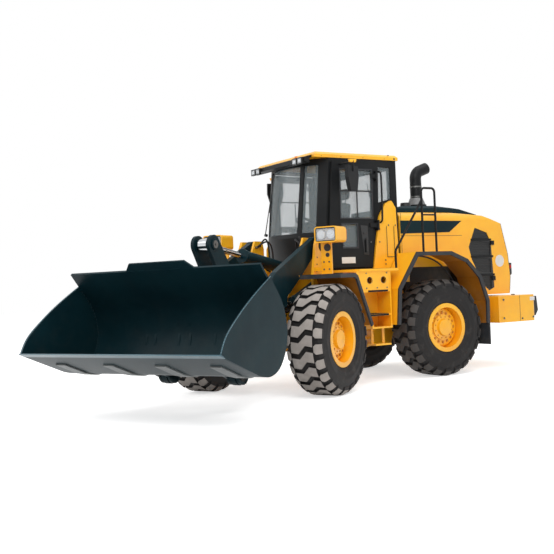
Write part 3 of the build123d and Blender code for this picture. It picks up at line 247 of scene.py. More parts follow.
edge_rubber = rubber("edge_rubber", (0.03, 0.032, 0.036), 0.15, 0.48)
hose_rubber = rubber("hose_rubber", (0.012, 0.012, 0.013), 0.1, 0.5)


def tread_rubber(name, pale):
    """Tyre rubber, paler by a share where it touches the ground."""
    recipe = Recipe(name)
    touched = recipe.node("ShaderNodeAttribute", {"attribute_name": "touches_ground"}, give="Fac")
    clouds = recipe.noise(7.0, 5.0, 0.65)
    grain = recipe.noise(60.0, 3.0)
    dust = (touched * (clouds * 0.6 + 0.55) * pale + clouds.between(0.5, 0.8) * 0.06).clamp()
    recipe.set(Base_Color=recipe.mix(dust, (0.012, 0.011, 0.011), GROUND_DUST),
               Roughness=dust * 0.25 + 0.62, Specular_IOR_Level=0.25)
    return recipe.bump(grain, 0.0012, 0.5).material


front_tread = tread_rubber("front_tread", 0.9)
rear_tread = tread_rubber("rear_tread", 0.14)
print("rubber:", edge_rubber.name, hose_rubber.name, front_tread.name, rear_tread.name)

# %% [markdown]
# ## Bare metal
# Bare steel shows only where something rubs: the wear strips, the polished rods of the cylinders and
# the heads of bolts. Grinding leaves fine scratches along one way, which noise gives when the place
# that it reads is squeezed across that way.

# %% Bare metal
ALONG_X = (6.0, 90.0, 90.0)  # how much finer the noise is across the scratches than along them


def metal(name, colour, rough, scratch=0.15, metallic=1.0):
    """Ground or cast metal with scratches along x."""
    recipe = Recipe(name)
    stretched = recipe.node("ShaderNodeMapping", {}, recipe.place, (0, 0, 0), (0, 0, 0), ALONG_X)
    lines = recipe.noise(3.0, 4.0, 0.6, stretched)
    blotch = recipe.noise(5.0, 4.0)
    recipe.set(Base_Color=recipe.mix(blotch.between(0.4, 0.8), colour, tuple(c * 0.6 for c in colour)),
               Metallic=metallic, Roughness=lines * scratch + rough)
    return recipe.bump(lines, 0.0004, 0.3).material


steel = metal("worn_steel", (0.20, 0.21, 0.21), 0.42)
chrome = metal("rod_chrome", (0.62, 0.64, 0.66), 0.10, 0.05)
zinc = metal("bolt_zinc", (0.16, 0.16, 0.155), 0.38)
print("metal:", steel.name, chrome.name, zinc.name)

# %% [markdown]
# ## Glass
# Glass in a cab is thin and faintly grey. It could be a block that bends light, but a thin sheet that
# mostly lets light through, with a sharp shine on it, looks right from both sides and stays quick.

# %% Glass
def glass(name, tint, share):
    """A thin pane: share is how much of its own tint is seen."""
    recipe = Recipe(name)
    streaks = recipe.noise(2.2, 3.0)
    recipe.set(Base_Color=tint, Roughness=streaks * 0.03 + 0.03, Alpha=share, Specular_IOR_Level=0.8)
    return recipe.material


pane = glass("cab_pane", (0.30, 0.36, 0.38), 0.26)
lens_clear = glass("lens_clear", (0.75, 0.78, 0.80), 0.30)
print("glass:", pane.name, lens_clear.name)

# %% [markdown]
# ## Plastic
# Lamp bodies, lenses and mirror backs are moulded. A mould leaves a fine even grain, so the same
# speckle feeds the relief and the roughness, and a lens has next to none of it.

# %% Plastic and lenses
def plastic(name, colour, rough=0.45, grain=0.0004):
    """Moulded plastic with a grain of a height in metres."""
    recipe = Recipe(name)
    speckle = recipe.noise(240.0, 3.0)
    recipe.set(Base_Color=recipe.mix(recipe.noise(6.0, 3.0), colour, tuple(c * 0.75 for c in colour)),
               Roughness=speckle * 0.12 + rough)
    return recipe.bump(speckle, grain, 0.5).material


LENS_GRAIN = 0.0001
black_plastic = plastic("black_plastic", (0.018, 0.019, 0.020))
red_lens = plastic("red_lens", (0.55, 0.012, 0.010), 0.12, LENS_GRAIN)
amber_lens = plastic("amber_lens", (0.85, 0.25, 0.01), 0.12, LENS_GRAIN)
white_plate = plastic("white_plate", (0.80, 0.80, 0.78), 0.35, LENS_GRAIN)
reflector = metal("lamp_reflector", (0.85, 0.86, 0.88), 0.12, 0.05)
print("plastic:", black_plastic.name, red_lens.name, amber_lens.name, white_plate.name, "and", reflector.name)

# %% [markdown]
# ## Seat cloth
# The seat is covered in a dark, dull cloth with a short nap. Woven threads would be finer than
# anything that shows behind the windows, so a fine noise stands for them and sheen for the nap.

# %% Seat cloth
def cloth(name, colour):
    """Dull cloth that pales at its rims."""
    recipe = Recipe(name)
    recipe.set(Base_Color=recipe.mix(recipe.noise(12.0), colour, tuple(c * 1.8 for c in colour)),
               Roughness=0.9, Sheen_Weight=0.4)
    return recipe.bump(recipe.noise(400.0), 0.0008, 0.6).material


seat_cloth = cloth("seat_cloth", (0.02, 0.021, 0.023))
print("materials:", len(bpy.data.materials))

# %% [markdown]
# ## Dressing the solids
# Most of the solids already have the right shape and only need their finish. A table from finish to
# solids reads like a painter's list. The tyres, the seat and the bucket aren't on it, because finer
# meshes take their places below.

# %% Which finish goes where
FINISH = {
    yellow: ("rear_fenders", "side_ladders", "hood_shell", "roof", "headlamps", "front_fenders", "front_frame",
             "counterweight", "rear_frame", "cab_side_panels",
             "rim_front_left", "rim_front_right", "rim_rear_left", "rim_rear_right"),
    teal_wear_and_highlight: ("cutting_edge",),
    teal: ("boom", "bell_crank", "bucket_link", "tilt_barrel", "lift_barrels",
           "steer_barrel_left", "steer_barrel_right", "hood_trim"),
    black: ("cab_frame", "door_left", "door_right", "handrails", "exhaust", "rear_grille", "cab_floor"),
    under: ("engine_block", "gearbox", "centre_shaft", "rear_axle", "front_axle", "fuel_tank"),
    chrome: ("tilt_rod", "lift_rods", "steer_rod_left", "steer_rod_right"),
    edge_rubber: ("rear_fender_edges", "front_fender_edges", "rear_bumper"),
    pane: ("cab_glass", "door_glass_left", "door_glass_right"),
    black_plastic: ("side_grilles", "tail_lamps", "console"),
}
for finish, names in FINISH.items():
    for name in names:
        nodes[name].data.materials.clear()
        nodes[name].data.materials.append(finish)
print("solids finished:", sum(len(names) for names in FINISH.values()), "of", len(nodes))

# %% [markdown]
# ## Making pieces
# A few helpers carry every new piece from a bmesh to an object that rides on the right body. The
# mesh is drawn in the straight half that it belongs to and taken to its place at the end. The left
# and the right side differ only in the sign of y, so a helper that takes two limits sorts them.

# %% Helpers
HANDS = (("left", 1), ("right", -1))
fresh = []


def tell():
    """Prints the pieces made since it last did."""
    print("made:", ", ".join(fresh))
    fresh.clear()


def place_in_scene(name, data, finish, body):
    """An object of a mesh or curve, with its finish, on its body."""
    made = bpy.data.objects.new(name, data)
    bpy.context.scene.collection.objects.link(made)
    data.materials.append(finish)
    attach(made, body)
    fresh.append(name)
    return made


def piece(name, mesh, body, finish, half=REAR, smooth=False, rounded=0.0, segments=2):
    """An object from a bmesh, in its place, with its finish and, where asked, rounded edges."""
    mesh.transform(half)
    bmesh.ops.recalc_face_normals(mesh, faces=mesh.faces)
    data = bpy.data.meshes.new(name)
    for face in mesh.faces:
        face.smooth = smooth
    mesh.to_mesh(data)
    mesh.free()
    made = place_in_scene(name, data, finish, body)
    if rounded:
        bevel = made.modifiers.new("rounded", "BEVEL")
        bevel.width = rounded
        bevel.segments = segments
        bevel.limit_method = "ANGLE"
    return made

# %% [markdown]
# Most small parts of a machine are boxes, round bars and bolts. Each is a create operator of bmesh
# with its place worked out from the two points that it runs between, which is how one measures it.

# %% Boxes, bars and bolts
def cuboid(mesh, low, high):
    """A box between two corners."""
    made = bmesh.ops.create_cube(mesh, size=1)["verts"]
    low, high = Vector(map(min, low, high)), Vector(map(max, low, high))
    bmesh.ops.scale(mesh, vec=high - low, verts=made)
    bmesh.ops.translate(mesh, vec=(low + high) / 2, verts=made)


def towards(start, end):
    """The turn that takes the Z axis to the line between two points, placed at its middle."""
    start, end = Vector(start), Vector(end)
    return Matrix.Translation((start + end) / 2) @ (end - start).to_track_quat("Z", "Y").to_matrix().to_4x4()


def bar(mesh, start, end, radius, far=None, sides=20):
    """A round bar between two points, or a cone where the far radius differs."""
    length = (Vector(end) - Vector(start)).length
    bmesh.ops.create_cone(mesh, cap_ends=True, segments=sides, radius1=radius,
                          radius2=radius if far is None else far, depth=length, matrix=towards(start, end))


def bolt(mesh, at, facing, size):
    """A hexagon head on its washer, facing a direction."""
    at, facing = Vector(at), Vector(facing).normalized()
    bar(mesh, at - facing * 0.002, at + facing * 0.003, size * 1.35, sides=16)
    bar(mesh, at + facing * 0.003, at + facing * size * 0.9, size, sides=6)

# %% [markdown]
# Plates are cut to an outline. One face between the corners of the outline is extruded by the
# plate's thickness, which closes the sides and the far face in one step.

# %% Plates
def moved_vertices(geometry):
    """The vertices among what an operator gives back."""
    return [item for item in geometry if isinstance(item, bmesh.types.BMVert)]


def slab(mesh, corners, way):
    """A plate: a face between corners in space, extruded one way."""
    face = mesh.faces.new([mesh.verts.new(corner) for corner in corners])
    grown = bmesh.ops.extrude_face_region(mesh, geom=[face])["geom"]
    bmesh.ops.translate(mesh, vec=way, verts=moved_vertices(grown))


def prism(mesh, outline, low, high):
    """A plate with its outline given in x and z, between two y."""
    low, high = sorted((low, high))
    slab(mesh, [(x, low, z) for x, z in outline], (0, high - low, 0))

# %% [markdown]
# Hoses and rails are curves with a thickness. A curve stays smooth between a few points, where a
# mesh would need each ring of its wall to be placed.

# %% Tubes
def tube(name, points, radius, body, finish, half=REAR):
    """A bent tube or hose along a smooth line through a few points."""
    curve = bpy.data.curves.new(name, "CURVE")
    curve.dimensions = "3D"
    curve.bevel_depth = radius
    curve.bevel_resolution = 3
    curve.resolution_u = 10
    curve.use_fill_caps = True
    line = curve.splines.new("NURBS")
    line.points.add(len(points) - 1)
    for point, place in zip(line.points, points):
        point.co = (*(half @ Vector(place)), 1)
    line.order_u = 4
    line.use_endpoint_u = True
    return place_in_scene(name, curve, finish, body)

# %% [markdown]
# ## Tyres
# A loader's tyre has a smooth carcass and deep lugs. The carcass is a section spun round the axle.
# The lugs are drawn flat, as a strip of tread unrolled on a table, because a zigzag is easy to see
# there. Across the middle goes a block like a Z, and a smaller block fills the gap at each shoulder.
# Their edges are rounded while they lie flat, and then each vertex is wrapped round the carcass.

# %% Tyre sizes, from the solids
low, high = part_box("tyre_rear_left")
TYRE_R = (high.z - low.z) / 2
BEAD_R = 0.332  # where the tyre sits on its rim
LUG = 0.034  # how deep the tread is
PITCHES = 22  # how often the pattern repeats round the tyre
PITCH = tau * TYRE_R / PITCHES
WHEELS = [(end, side, hand) for end in ("front", "rear") for side, hand in HANDS]


def wheel_place(end, side, hand):
    """Where a wheel's own straight frame stands, with y pointing out of the machine."""
    place = Matrix.Translation(joints[f"wheel_{end}_{side}_spin"]["pos_m"])
    place = place @ Matrix.Rotation(TURN if end == "front" else 0.0, 4, "Z")
    return place if hand > 0 else place @ Matrix.Rotation(pi, 4, "Z")


def absorb(mesh, other):
    """Takes another bmesh into this one, and frees it."""
    data = bpy.data.meshes.new("passing")
    other.to_mesh(data)
    other.free()
    mesh.from_mesh(data)
    bpy.data.meshes.remove(data)


print("tyre radius", round(TYRE_R, 3), "half width", round((high.y - low.y) / 2, 3))

# %% [markdown]
# The carcass is half a section, from the bead over the side wall to the middle of the tread, spun
# round the axle and mirrored. The small steps in it are the rings that a mould leaves on a side wall.

# %% Carcass
def everything(mesh):
    """All that a bmesh holds, for an operator."""
    return mesh.verts[:] + mesh.edges[:] + mesh.faces[:]


def carcass(mesh):
    """The tyre without its lugs, spun from half a section and mirrored across its middle."""
    skin = TYRE_R - LUG
    section = [(BEAD_R, 0.200), (0.352, 0.214), (0.372, 0.216), (0.378, 0.224), (0.384, 0.226), (0.40, 0.240),
               (0.43, 0.251), (0.436, 0.254), (0.442, 0.2535), (0.50, 0.2575), (0.506, 0.2595), (0.53, 0.2595),
               (0.536, 0.2575), (0.58, 0.255), (0.62, 0.248), (0.655, 0.236), (0.680, 0.212), (skin - 0.006, 0.17),
               (skin, 0.10), (skin + 0.001, 0.0)]
    ring = [mesh.verts.new((r, y, 0)) for r, y in section]
    edges = [mesh.edges.new(pair) for pair in zip(ring, ring[1:])]
    bmesh.ops.spin(mesh, geom=ring + edges, cent=(0, 0, 0), axis=(0, 1, 0), angle=tau, steps=72, use_merge=True)
    bmesh.ops.mirror(mesh, geom=everything(mesh), axis="Y", merge_dist=0.0005)

# %% [markdown]
# A lug is wider at its foot than at its top, so the top of each block is drawn in a little. One pitch
# is cut across where it will bend, wrapped round the carcass, and repeated. Repeating it after it is
# wrapped keeps the many copies cheap.

# %% Lugs
# Outlines along the tread in pitches and across it in metres.
Z_BLOCK = [(0.60, -0.152), (0.68, -0.052), (0.14, 0.048), (0.22, 0.152),
           (-0.48, 0.152), (-0.56, 0.058), (-0.04, -0.042), (-0.12, -0.152)]
SHOULDER = [(0.02, 0.256), (0.02, 0.190), (0.16, 0.163), (0.54, 0.163), (0.70, 0.190), (0.70, 0.256)]
CUTS_ALONG = [-0.45 + 0.15 * step for step in range(11)]  # in pitches
CUTS_ACROSS = (-0.235, -0.21, -0.185, 0.185, 0.21, 0.235)
SUNK = 0.012  # how far a block reaches into the carcass
DRAWN_IN = 0.93  # how long a block's top is, as a share of its foot


def block(mesh, outline, shift, hand):
    """One rubber block, standing on the flat strip with leaning sides and rounded edges."""
    middle = (shift + sum(x for x, _ in outline) / len(outline)) * PITCH
    foot = mesh.faces.new([mesh.verts.new(((shift + x) * PITCH, hand * y, -SUNK)) for x, y in outline])
    for v in moved_vertices(bmesh.ops.extrude_face_region(mesh, geom=[foot])["geom"]):
        v.co = (middle + (v.co.x - middle) * DRAWN_IN, v.co.y, LUG)
    top = [e for e in mesh.edges if all(v.co.z > LUG - 0.001 for v in e.verts)]
    bmesh.ops.bevel(mesh, geom=top, offset=0.006, segments=2, profile=0.6, affect="EDGES")


def flat_tread():
    """One pitch of the tread, cut across so that it can bend."""
    mesh = bmesh.new()
    for outline, shift, hand in ((Z_BLOCK, 0.0, 1), (SHOULDER, 0.0, 1), (SHOULDER, 0.44, -1)):
        one = bmesh.new()
        block(one, outline, shift, hand)
        absorb(mesh, one)
    for x in CUTS_ALONG:
        bmesh.ops.bisect_plane(mesh, geom=everything(mesh), plane_co=(x * PITCH, 0, 0), plane_no=(1, 0, 0))
    for y in CUTS_ACROSS:
        bmesh.ops.bisect_plane(mesh, geom=everything(mesh), plane_co=(0, y, 0), plane_no=(0, 1, 0))
    return mesh


def lugs(mesh):
    """The flat pitch wrapped round the carcass, leaning over at its shoulders, and repeated."""
    touched = mesh.verts.layers.float.new("touches_ground")
    absorb(mesh, flat_tread())
    for v in mesh.verts:
        v[touched] = 1.0 if v.co.z > LUG - 0.004 else 0.0
        drop = max(0.0, abs(v.co.y) - 0.150) ** 2 * 6.0
        angle = v.co.x / TYRE_R
        reach = TYRE_R - LUG - drop + v.co.z
        v.co = (reach * cos(angle), v.co.y, -reach * sin(angle))
    one = everything(mesh)
    for step in range(1, PITCHES):
        copy = bmesh.ops.duplicate(mesh, geom=one)["geom"]
        bmesh.ops.rotate(mesh, cent=(0, 0, 0), matrix=Matrix.Rotation(step * tau / PITCHES, 3, "Y"),
                         verts=moved_vertices(copy))


def tyre(name, body, finish, matrix):
    """A whole tyre: its lugs, and the carcass under them."""
    mesh, under_lugs = bmesh.new(), bmesh.new()
    lugs(mesh)
    carcass(under_lugs)
    absorb(mesh, under_lugs)
    made = piece(name, mesh, body, finish, matrix, smooth=True)
    made.data.set_sharp_from_angle(angle=radians(32))
    return made


for end, side, hand in WHEELS:
    made = tyre(f"lugged_tyre_{end}_{side}", f"wheel_{end}_{side}", front_tread if end == "front" else rear_tread,
                wheel_place(end, side, hand))
    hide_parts(f"tyre_{end}_{side}")
print("tyre triangles:", sum(len(p.vertices) - 2 for p in made.data.polygons))
tell()

# %% [markdown]
# ## Wheel nuts
# The rim is held to its hub by a ring of nuts, and the hub's planetary cover by a ring of smaller
# bolts. They are what makes a plain disc read as a wheel.

# %% Nuts and hub bolts
def bolt_circle(mesh, middle, radius, count, hand, size, first=0.0):
    """Bolts evenly spread round a middle, facing out to one side."""
    x, y, z = middle
    for step in range(count):
        a = tau * step / count + first
        bolt(mesh, (x + radius * cos(a), y, z + radius * sin(a)), (0, hand, 0), size)


NUT_FACE, NUT_RING, NUTS = 0.1175, 0.222, 16  # where they sit, the radius of their circle, how many
HUB_FACE, HUB_RING, HUB_BOLTS = 0.1460, 0.160, 12
for end, side, hand in WHEELS:
    mesh = bmesh.new()
    bolt_circle(mesh, (0, NUT_FACE, 0), NUT_RING, NUTS, 1, 0.016)
    bolt_circle(mesh, (0, HUB_FACE, 0), HUB_RING, HUB_BOLTS, 1, 0.008, tau / HUB_BOLTS / 2)
    # The nuts' darker orange is painted shade from the rim's dish.
    piece(f"wheel_nuts_{end}_{side}", mesh, f"wheel_{end}_{side}", nut_shaded_orange,
          wheel_place(end, side, hand))
tell()

# %% [markdown]
# ## The cab
# What tells a real cab from a model of one is small: rubber round the glass, lamps under the roof,
# a wiper, a handle. Each is drawn where the solid leaves room for it. A seal is a flat band inside a
# window's outline, made as one plate for each side of the outline, so it suits any window.

# %% Window seals
def frame_ring(mesh, outline, low, high, width=0.018):
    """A flat band inside an outline of x and z, between two y."""
    middle = sum((Vector(p) for p in outline), Vector((0, 0))) / len(outline)
    inner = [Vector(p) + (middle - Vector(p)).normalized() * width * 1.4 for p in outline]
    for k in range(len(outline)):
        prism(mesh, [outline[k - 1], outline[k], tuple(inner[k]), tuple(inner[k - 1])], low, high)


DOOR_WINDOW = [(0.085, 2.390), (0.070, 3.130), (-0.530, 3.130), (-0.520, 2.390)]
DOOR_LOW_WINDOW = [(0.060, 1.960), (0.075, 2.330), (-0.230, 2.330), (-0.230, 1.960)]
PANE_FACE, DOOR_FACE, SEAL_FACE = 0.822, 0.829, 0.836  # how far each lies from the machine's middle
for side, hand in HANDS:
    mesh = bmesh.new()
    for window in (DOOR_WINDOW, DOOR_LOW_WINDOW):
        frame_ring(mesh, window, hand * PANE_FACE, hand * SEAL_FACE)
    piece(f"door_seals_{side}", mesh, f"door_{side}", edge_rubber)

    mesh = bmesh.new()
    cuboid(mesh, (-0.245, hand * PANE_FACE, 2.395), (-0.225, hand * 0.834, 2.800))
    cuboid(mesh, (-0.520, hand * PANE_FACE, 2.790), (0.080, hand * 0.834, 2.812))
    piece(f"door_bars_{side}", mesh, f"door_{side}", black_plastic, rounded=0.003)

    mesh = bmesh.new()
    cuboid(mesh, (-0.160, hand * DOOR_FACE, 1.745), (0.085, hand * 0.833, 1.835))
    piece(f"door_plate_{side}", mesh, f"door_{side}", white_plate, rounded=0.002)
tell()

# %% [markdown]
# A door is pulled by a lever in a shallow recess with a round lock above it. The recess is a dark plate laid on the
# door; its black is painted shade that reads as a hollow from outside, so it needs no cut in the solid.

# %% Handle and bolts
for side, hand in HANDS:
    mesh = bmesh.new()
    prism(mesh, [(-0.415, 1.86), (-0.325, 1.87), (-0.275, 2.30), (-0.405, 2.29)], hand * DOOR_FACE, hand * SEAL_FACE)
    cuboid(mesh, (-0.385, hand * SEAL_FACE, 1.905), (-0.355, hand * 0.862, 2.105))
    bar(mesh, (-0.335, hand * 0.834, 2.185), (-0.335, hand * 0.846, 2.185), 0.018)
    piece(f"door_handle_{side}", mesh, f"door_{side}", black_plastic, rounded=0.005)

    mesh = bmesh.new()
    for z in (2.05, 3.05):
        for x in (-0.46, -0.40):
            bolt(mesh, (x, hand * 0.8285, z), (0, hand, 0), 0.009)
    piece(f"door_bolts_{side}", mesh, f"door_{side}", zinc)
tell()

# %% [markdown]
# Two pairs of lamps look ahead from under the roof. Each is a frame, two bowls that mirror the light and
# a pane in front of them. A bowl is a short cone: wide at the front, it catches light like a real one.
# Two round lamps look back from the roof's rear edge, each a bar that narrows, on a small foot.

# %% Work lamps under the roof
LAMP_LOW, LAMP_HIGH, LAMP_HALF = 3.188, 3.284, 0.056  # its lower and upper edge, and half its width
frames, bowls, clear = bmesh.new(), bmesh.new(), bmesh.new()
for y in (-0.655, -0.520, 0.520, 0.655):
    for low_z, high_z in ((LAMP_LOW, LAMP_LOW + 0.014), (LAMP_HIGH - 0.014, LAMP_HIGH)):
        cuboid(frames, (0.624, y - LAMP_HALF, low_z), (0.640, y + LAMP_HALF, high_z))
    for low_y, high_y in ((y - LAMP_HALF, y - 0.044), (y + 0.044, y + LAMP_HALF)):
        cuboid(frames, (0.624, low_y, LAMP_LOW), (0.640, high_y, LAMP_HIGH))
    for at in (y - 0.021, y + 0.021):
        bar(bowls, (0.6255, at, 3.236), (0.633, at, 3.236), 0.019, 0.024, sides=20)
    cuboid(clear, (0.634, y - 0.045, 3.200), (0.638, y + 0.045, 3.272))
piece("work_lamp_frames", frames, "rear", black_plastic, rounded=0.003)
piece("work_lamp_mirrors", bowls, "rear", reflector)
piece("work_lamp_glass", clear, "rear", lens_clear)

mesh = bmesh.new()
for hand in (-1, 1):
    bar(mesh, (-1.045, hand * 0.50, 3.215), (-1.085, hand * 0.50, 3.215), 0.050, 0.042, sides=24)
    cuboid(mesh, (-1.045, hand * 0.50 - 0.02, 3.25), (-1.015, hand * 0.50 + 0.02, 3.282))
piece("rear_work_lamps", mesh, "rear", black_plastic, rounded=0.004)
tell()

# %% [markdown]
# A roof is pressed from one sheet and screwed down along its rim. The seam and the heads are thin dark
# forms on its skin, and an amber lamp stands on its front edge.

# %% Roof: its seam, its bolts and the amber lamp
mesh = bmesh.new()
cuboid(mesh, (-0.90, -0.79, 3.352), (-0.885, 0.79, 3.361))
for x, y in ((-0.99, 0.74), (-0.99, -0.74), (0.40, 0.74), (0.40, -0.74)):
    bar(mesh, (x, y, 3.350), (x, y, 3.362), 0.018, sides=20)
for hand in (-1, 1):
    bar(mesh, (-0.99, hand * 0.798, 3.305), (-0.99, hand * 0.8005, 3.305), 0.016, sides=20)
    for x in (-0.8, -0.4, 0.0, 0.35):
        bar(mesh, (x, hand * 0.798, 3.300), (x, hand * 0.8005, 3.300), 0.007, sides=12)
piece("roof_details", mesh, "rear", black_plastic)

mesh = bmesh.new()
bar(mesh, (0.44, 0.30, 3.33), (0.44, 0.30, 3.358), 0.034, 0.030)
cuboid(mesh, (0.42, 0.24, 3.300), (0.472, 0.36, 3.335))
piece("amber_lamp", mesh, "rear", amber_lens, rounded=0.004)
tell()

# %% [markdown]
# A wiper is an arm and a blade. Both are bars between points, and a function makes the front and the
# rear one from a foot, a tip and the way that the glass faces.

# %% Wipers
def wiper(name, foot, tip, blade, out):
    """An arm with a blade held against the glass, most of it back along the arm."""
    mesh = bmesh.new()
    foot, tip, out = Vector(foot), Vector(tip), Vector(out).normalized()
    bar(mesh, foot - out * 0.02, foot + out * 0.02, 0.022)
    bar(mesh, foot + out * 0.012, tip + out * 0.010, 0.008, 0.005, sides=10)
    along, lift = (tip - foot).normalized() * blade, out * 0.002
    bar(mesh, tip - along + lift, tip + along * 0.4 + lift, 0.007, sides=8)
    piece(name, mesh, "rear", black_plastic, rounded=0.001)


wiper("wiper_front", (0.662, -0.30, 2.235), (0.575, -0.16, 3.02), 0.46, (1, 0, 0.2))
wiper("wiper_rear", (-1.018, 0.25, 2.40), (-1.018, 0.10, 2.92), 0.30, (-1, 0, 0))
tell()

# %% [markdown]
# A grab handle is a bent tube, so it is a curve with a thickness: a smooth line follows its points, and
# its ends go into the post. A mirror's bracket is a short block with slanted ends, cut as one plate.
# The panel behind the door shows its bolts and the seams of its edge.

# %% Mirror brackets, grab handles and panel bolts
for side, hand in HANDS:
    mesh = bmesh.new()
    prism(mesh, [(-0.045, 3.178), (0.055, 3.178), (0.075, 3.222), (-0.060, 3.222)],
          hand * 1.055, hand * 1.092)
    piece(f"mirror_bracket_{side}", mesh, f"door_{side}", yellow, rounded=0.004)
    reach, out = hand * 0.875, hand * 0.878
    tube(f"grab_handle_{side}", [(-0.66, hand * 0.805, 3.10), (-0.66, reach, 3.10), (-0.665, out, 3.02),
                                 (-0.66, out, 2.60), (-0.655, out, 2.42),
                                 (-0.655, reach, 2.34), (-0.655, hand * 0.805, 2.34)],
         0.014, "rear", black)
    mesh = bmesh.new()
    for x, z in ((-0.93, 2.30), (-0.93, 1.80), (-0.80, 2.30), (-0.72, 1.78), (-0.72, 1.72), (-0.62, 2.05)):
        bolt(mesh, (x, hand * 0.8345, z), (0, hand, 0), 0.008)
    piece(f"cab_panel_bolts_{side}", mesh, "rear", zinc)
    mesh = bmesh.new()
    for x0, z0, x1, z1 in ((-0.905, 2.285, -0.897, 1.83), (-0.765, 2.285, -0.757, 1.83),
                           (-0.905, 1.83, -0.757, 1.822)):
        prism(mesh, [(x0, z0), (x1, z0), (x1, z1), (x0, z1)], hand * 0.833, hand * 0.8352)
    piece(f"cab_panel_seams_{side}", mesh, "rear", black_plastic)
tell()

# %% [markdown]
# ## The driver's seat
# A cushion is a crowned form: its faces bulge and its sides pull in between the corners. Simulated
# cloth would settle into that form, but the seat is mostly behind glass, so a box with enough
# vertices is pushed out by how far each vertex lies from the middle, and then subdivided.

# %% Cushions
def hump(x):
    """A smooth hump, 1 in its middle."""
    return 1 / (1 + x * x)


def cushion(name, size, crown, matrix, channels=()):
    """A crowned pad of a half size, drawn in its own frame, with sewn channels along it."""
    mesh = bmesh.new()
    bmesh.ops.create_cube(mesh, size=2)
    bmesh.ops.subdivide_edges(mesh, edges=mesh.edges[:], cuts=7, use_grid_fill=True)
    for v in mesh.verts:
        x, y, z = v.co
        soft = (1 - x ** 4) * (1 - y ** 4)
        pull = 1 - 0.05 * (1 - z * z) - 0.03 * abs(x * y)
        corner = 1 - 0.10 * max(0.0, abs(x) - 0.6) * max(0.0, abs(y) - 0.6) * 6
        lift = size[2] + crown * soft if z > 0 else size[2]
        dip = sum(0.010 * hump((y * size[1] - place) / 0.012) for place in channels) if z > 0.9 else 0
        v.co = (x * size[0] * pull * corner, y * size[1] * pull * corner, z * lift - dip)
    made = piece(name, mesh, "rear", seat_cloth, REAR @ matrix, smooth=True)
    soft = made.modifiers.new("soft", "SUBSURF")
    soft.levels = soft.render_levels = 1


def leaning(at, degrees):
    """A place, leaning back about y."""
    return Matrix.Translation(at) @ Matrix.Rotation(radians(degrees), 4, "Y")


cushion("seat_cushion", (0.205, 0.215, 0.038), 0.022, leaning((-0.295, 0, 2.115), -3), (-0.11, 0.11))
cushion("seat_back", (0.265, 0.205, 0.040), 0.020, leaning((-0.520, 0, 2.455), 78), (-0.10, 0.10))
cushion("seat_head_rest", (0.085, 0.120, 0.026), 0.010, leaning((-0.612, 0, 2.845), 80))
tell()

# %% [markdown]
# Under the cushion stands a steel frame on rubber bellows that fold as the seat sinks. The folds are
# boxes of two sizes in turn, which is all that shows of them behind the door.

# %% Seat frame, arms and bellows
mesh = bmesh.new()
cuboid(mesh, (-0.50, -0.215, 2.050), (-0.08, 0.215, 2.078))
for hand in (-1, 1):
    bar(mesh, (-0.590, hand * 0.05, 2.70), (-0.618, hand * 0.05, 2.80), 0.007)
    cuboid(mesh, (-0.36, hand * 0.245 - 0.014, 2.080), (-0.31, hand * 0.245 + 0.014, 2.262))
cuboid(mesh, (-0.44, -0.17, 1.712), (-0.16, 0.17, 1.90))
piece("seat_frame", mesh, "rear", black_plastic, rounded=0.006)
for side, hand in HANDS:
    cushion(f"seat_arm_{side}", (0.160, 0.038, 0.022), 0.006, Matrix.Translation((-0.31, hand * 0.290, 2.268)))
bellows = bmesh.new()
for step in range(5):
    z = 1.90 + step * 0.030
    cuboid(bellows, (-0.43, -0.16, z), (-0.17, 0.16, z + 0.014))
    cuboid(bellows, (-0.415, -0.145, z + 0.014), (-0.185, 0.145, z + 0.030))
made = piece("seat_bellows", bellows, "rear", edge_rubber, rounded=0.004)
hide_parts("seat")
tell()

# %% [markdown]
# The solid has the wheel's hub and column. Its rim is a circle spun round another axis, a torus, which
# spin makes from that circle in one step. The levers beside the seat are bars with knobs.

# %% Steering wheel rim and levers
RIM_R, GRIP_R = 0.185, 0.0205
mesh = bmesh.new()
bmesh.ops.create_circle(mesh, cap_ends=False, segments=12, radius=GRIP_R,
                        matrix=Matrix.Translation((RIM_R, 0, 0)) @ Matrix.Rotation(pi / 2, 4, "X"))
bmesh.ops.spin(mesh, geom=everything(mesh), cent=(0, 0, 0), axis=(0, 0, 1), angle=tau, steps=48, use_merge=True)
turn = leaning((0.088, 0, 2.376), -32)
piece("steering_rim", mesh, "rear", black_plastic, REAR @ turn, smooth=True)

mesh = bmesh.new()
for x in (-0.20, -0.26):
    bar(mesh, (x, -0.30, 2.29), (x + 0.02, -0.30, 2.38), 0.006)
    bar(mesh, (x + 0.02, -0.30, 2.375), (x + 0.022, -0.30, 2.410), 0.014, 0.018)
cuboid(mesh, (0.24, -0.14, 2.235), (0.34, 0.14, 2.255))
piece("levers", mesh, "rear", black_plastic, rounded=0.003)
tell()

# %% [markdown]
# ## The rear half
# Bolts hold plates on, and rails, grilles and lamps catch the eye. They are made for the left side
# and again for the right with the sign of y changed. A ladder comes first: strips on its treads for
# grip, a dark nose on each tread, bolts, and bright rims round the holes of its side sheet.

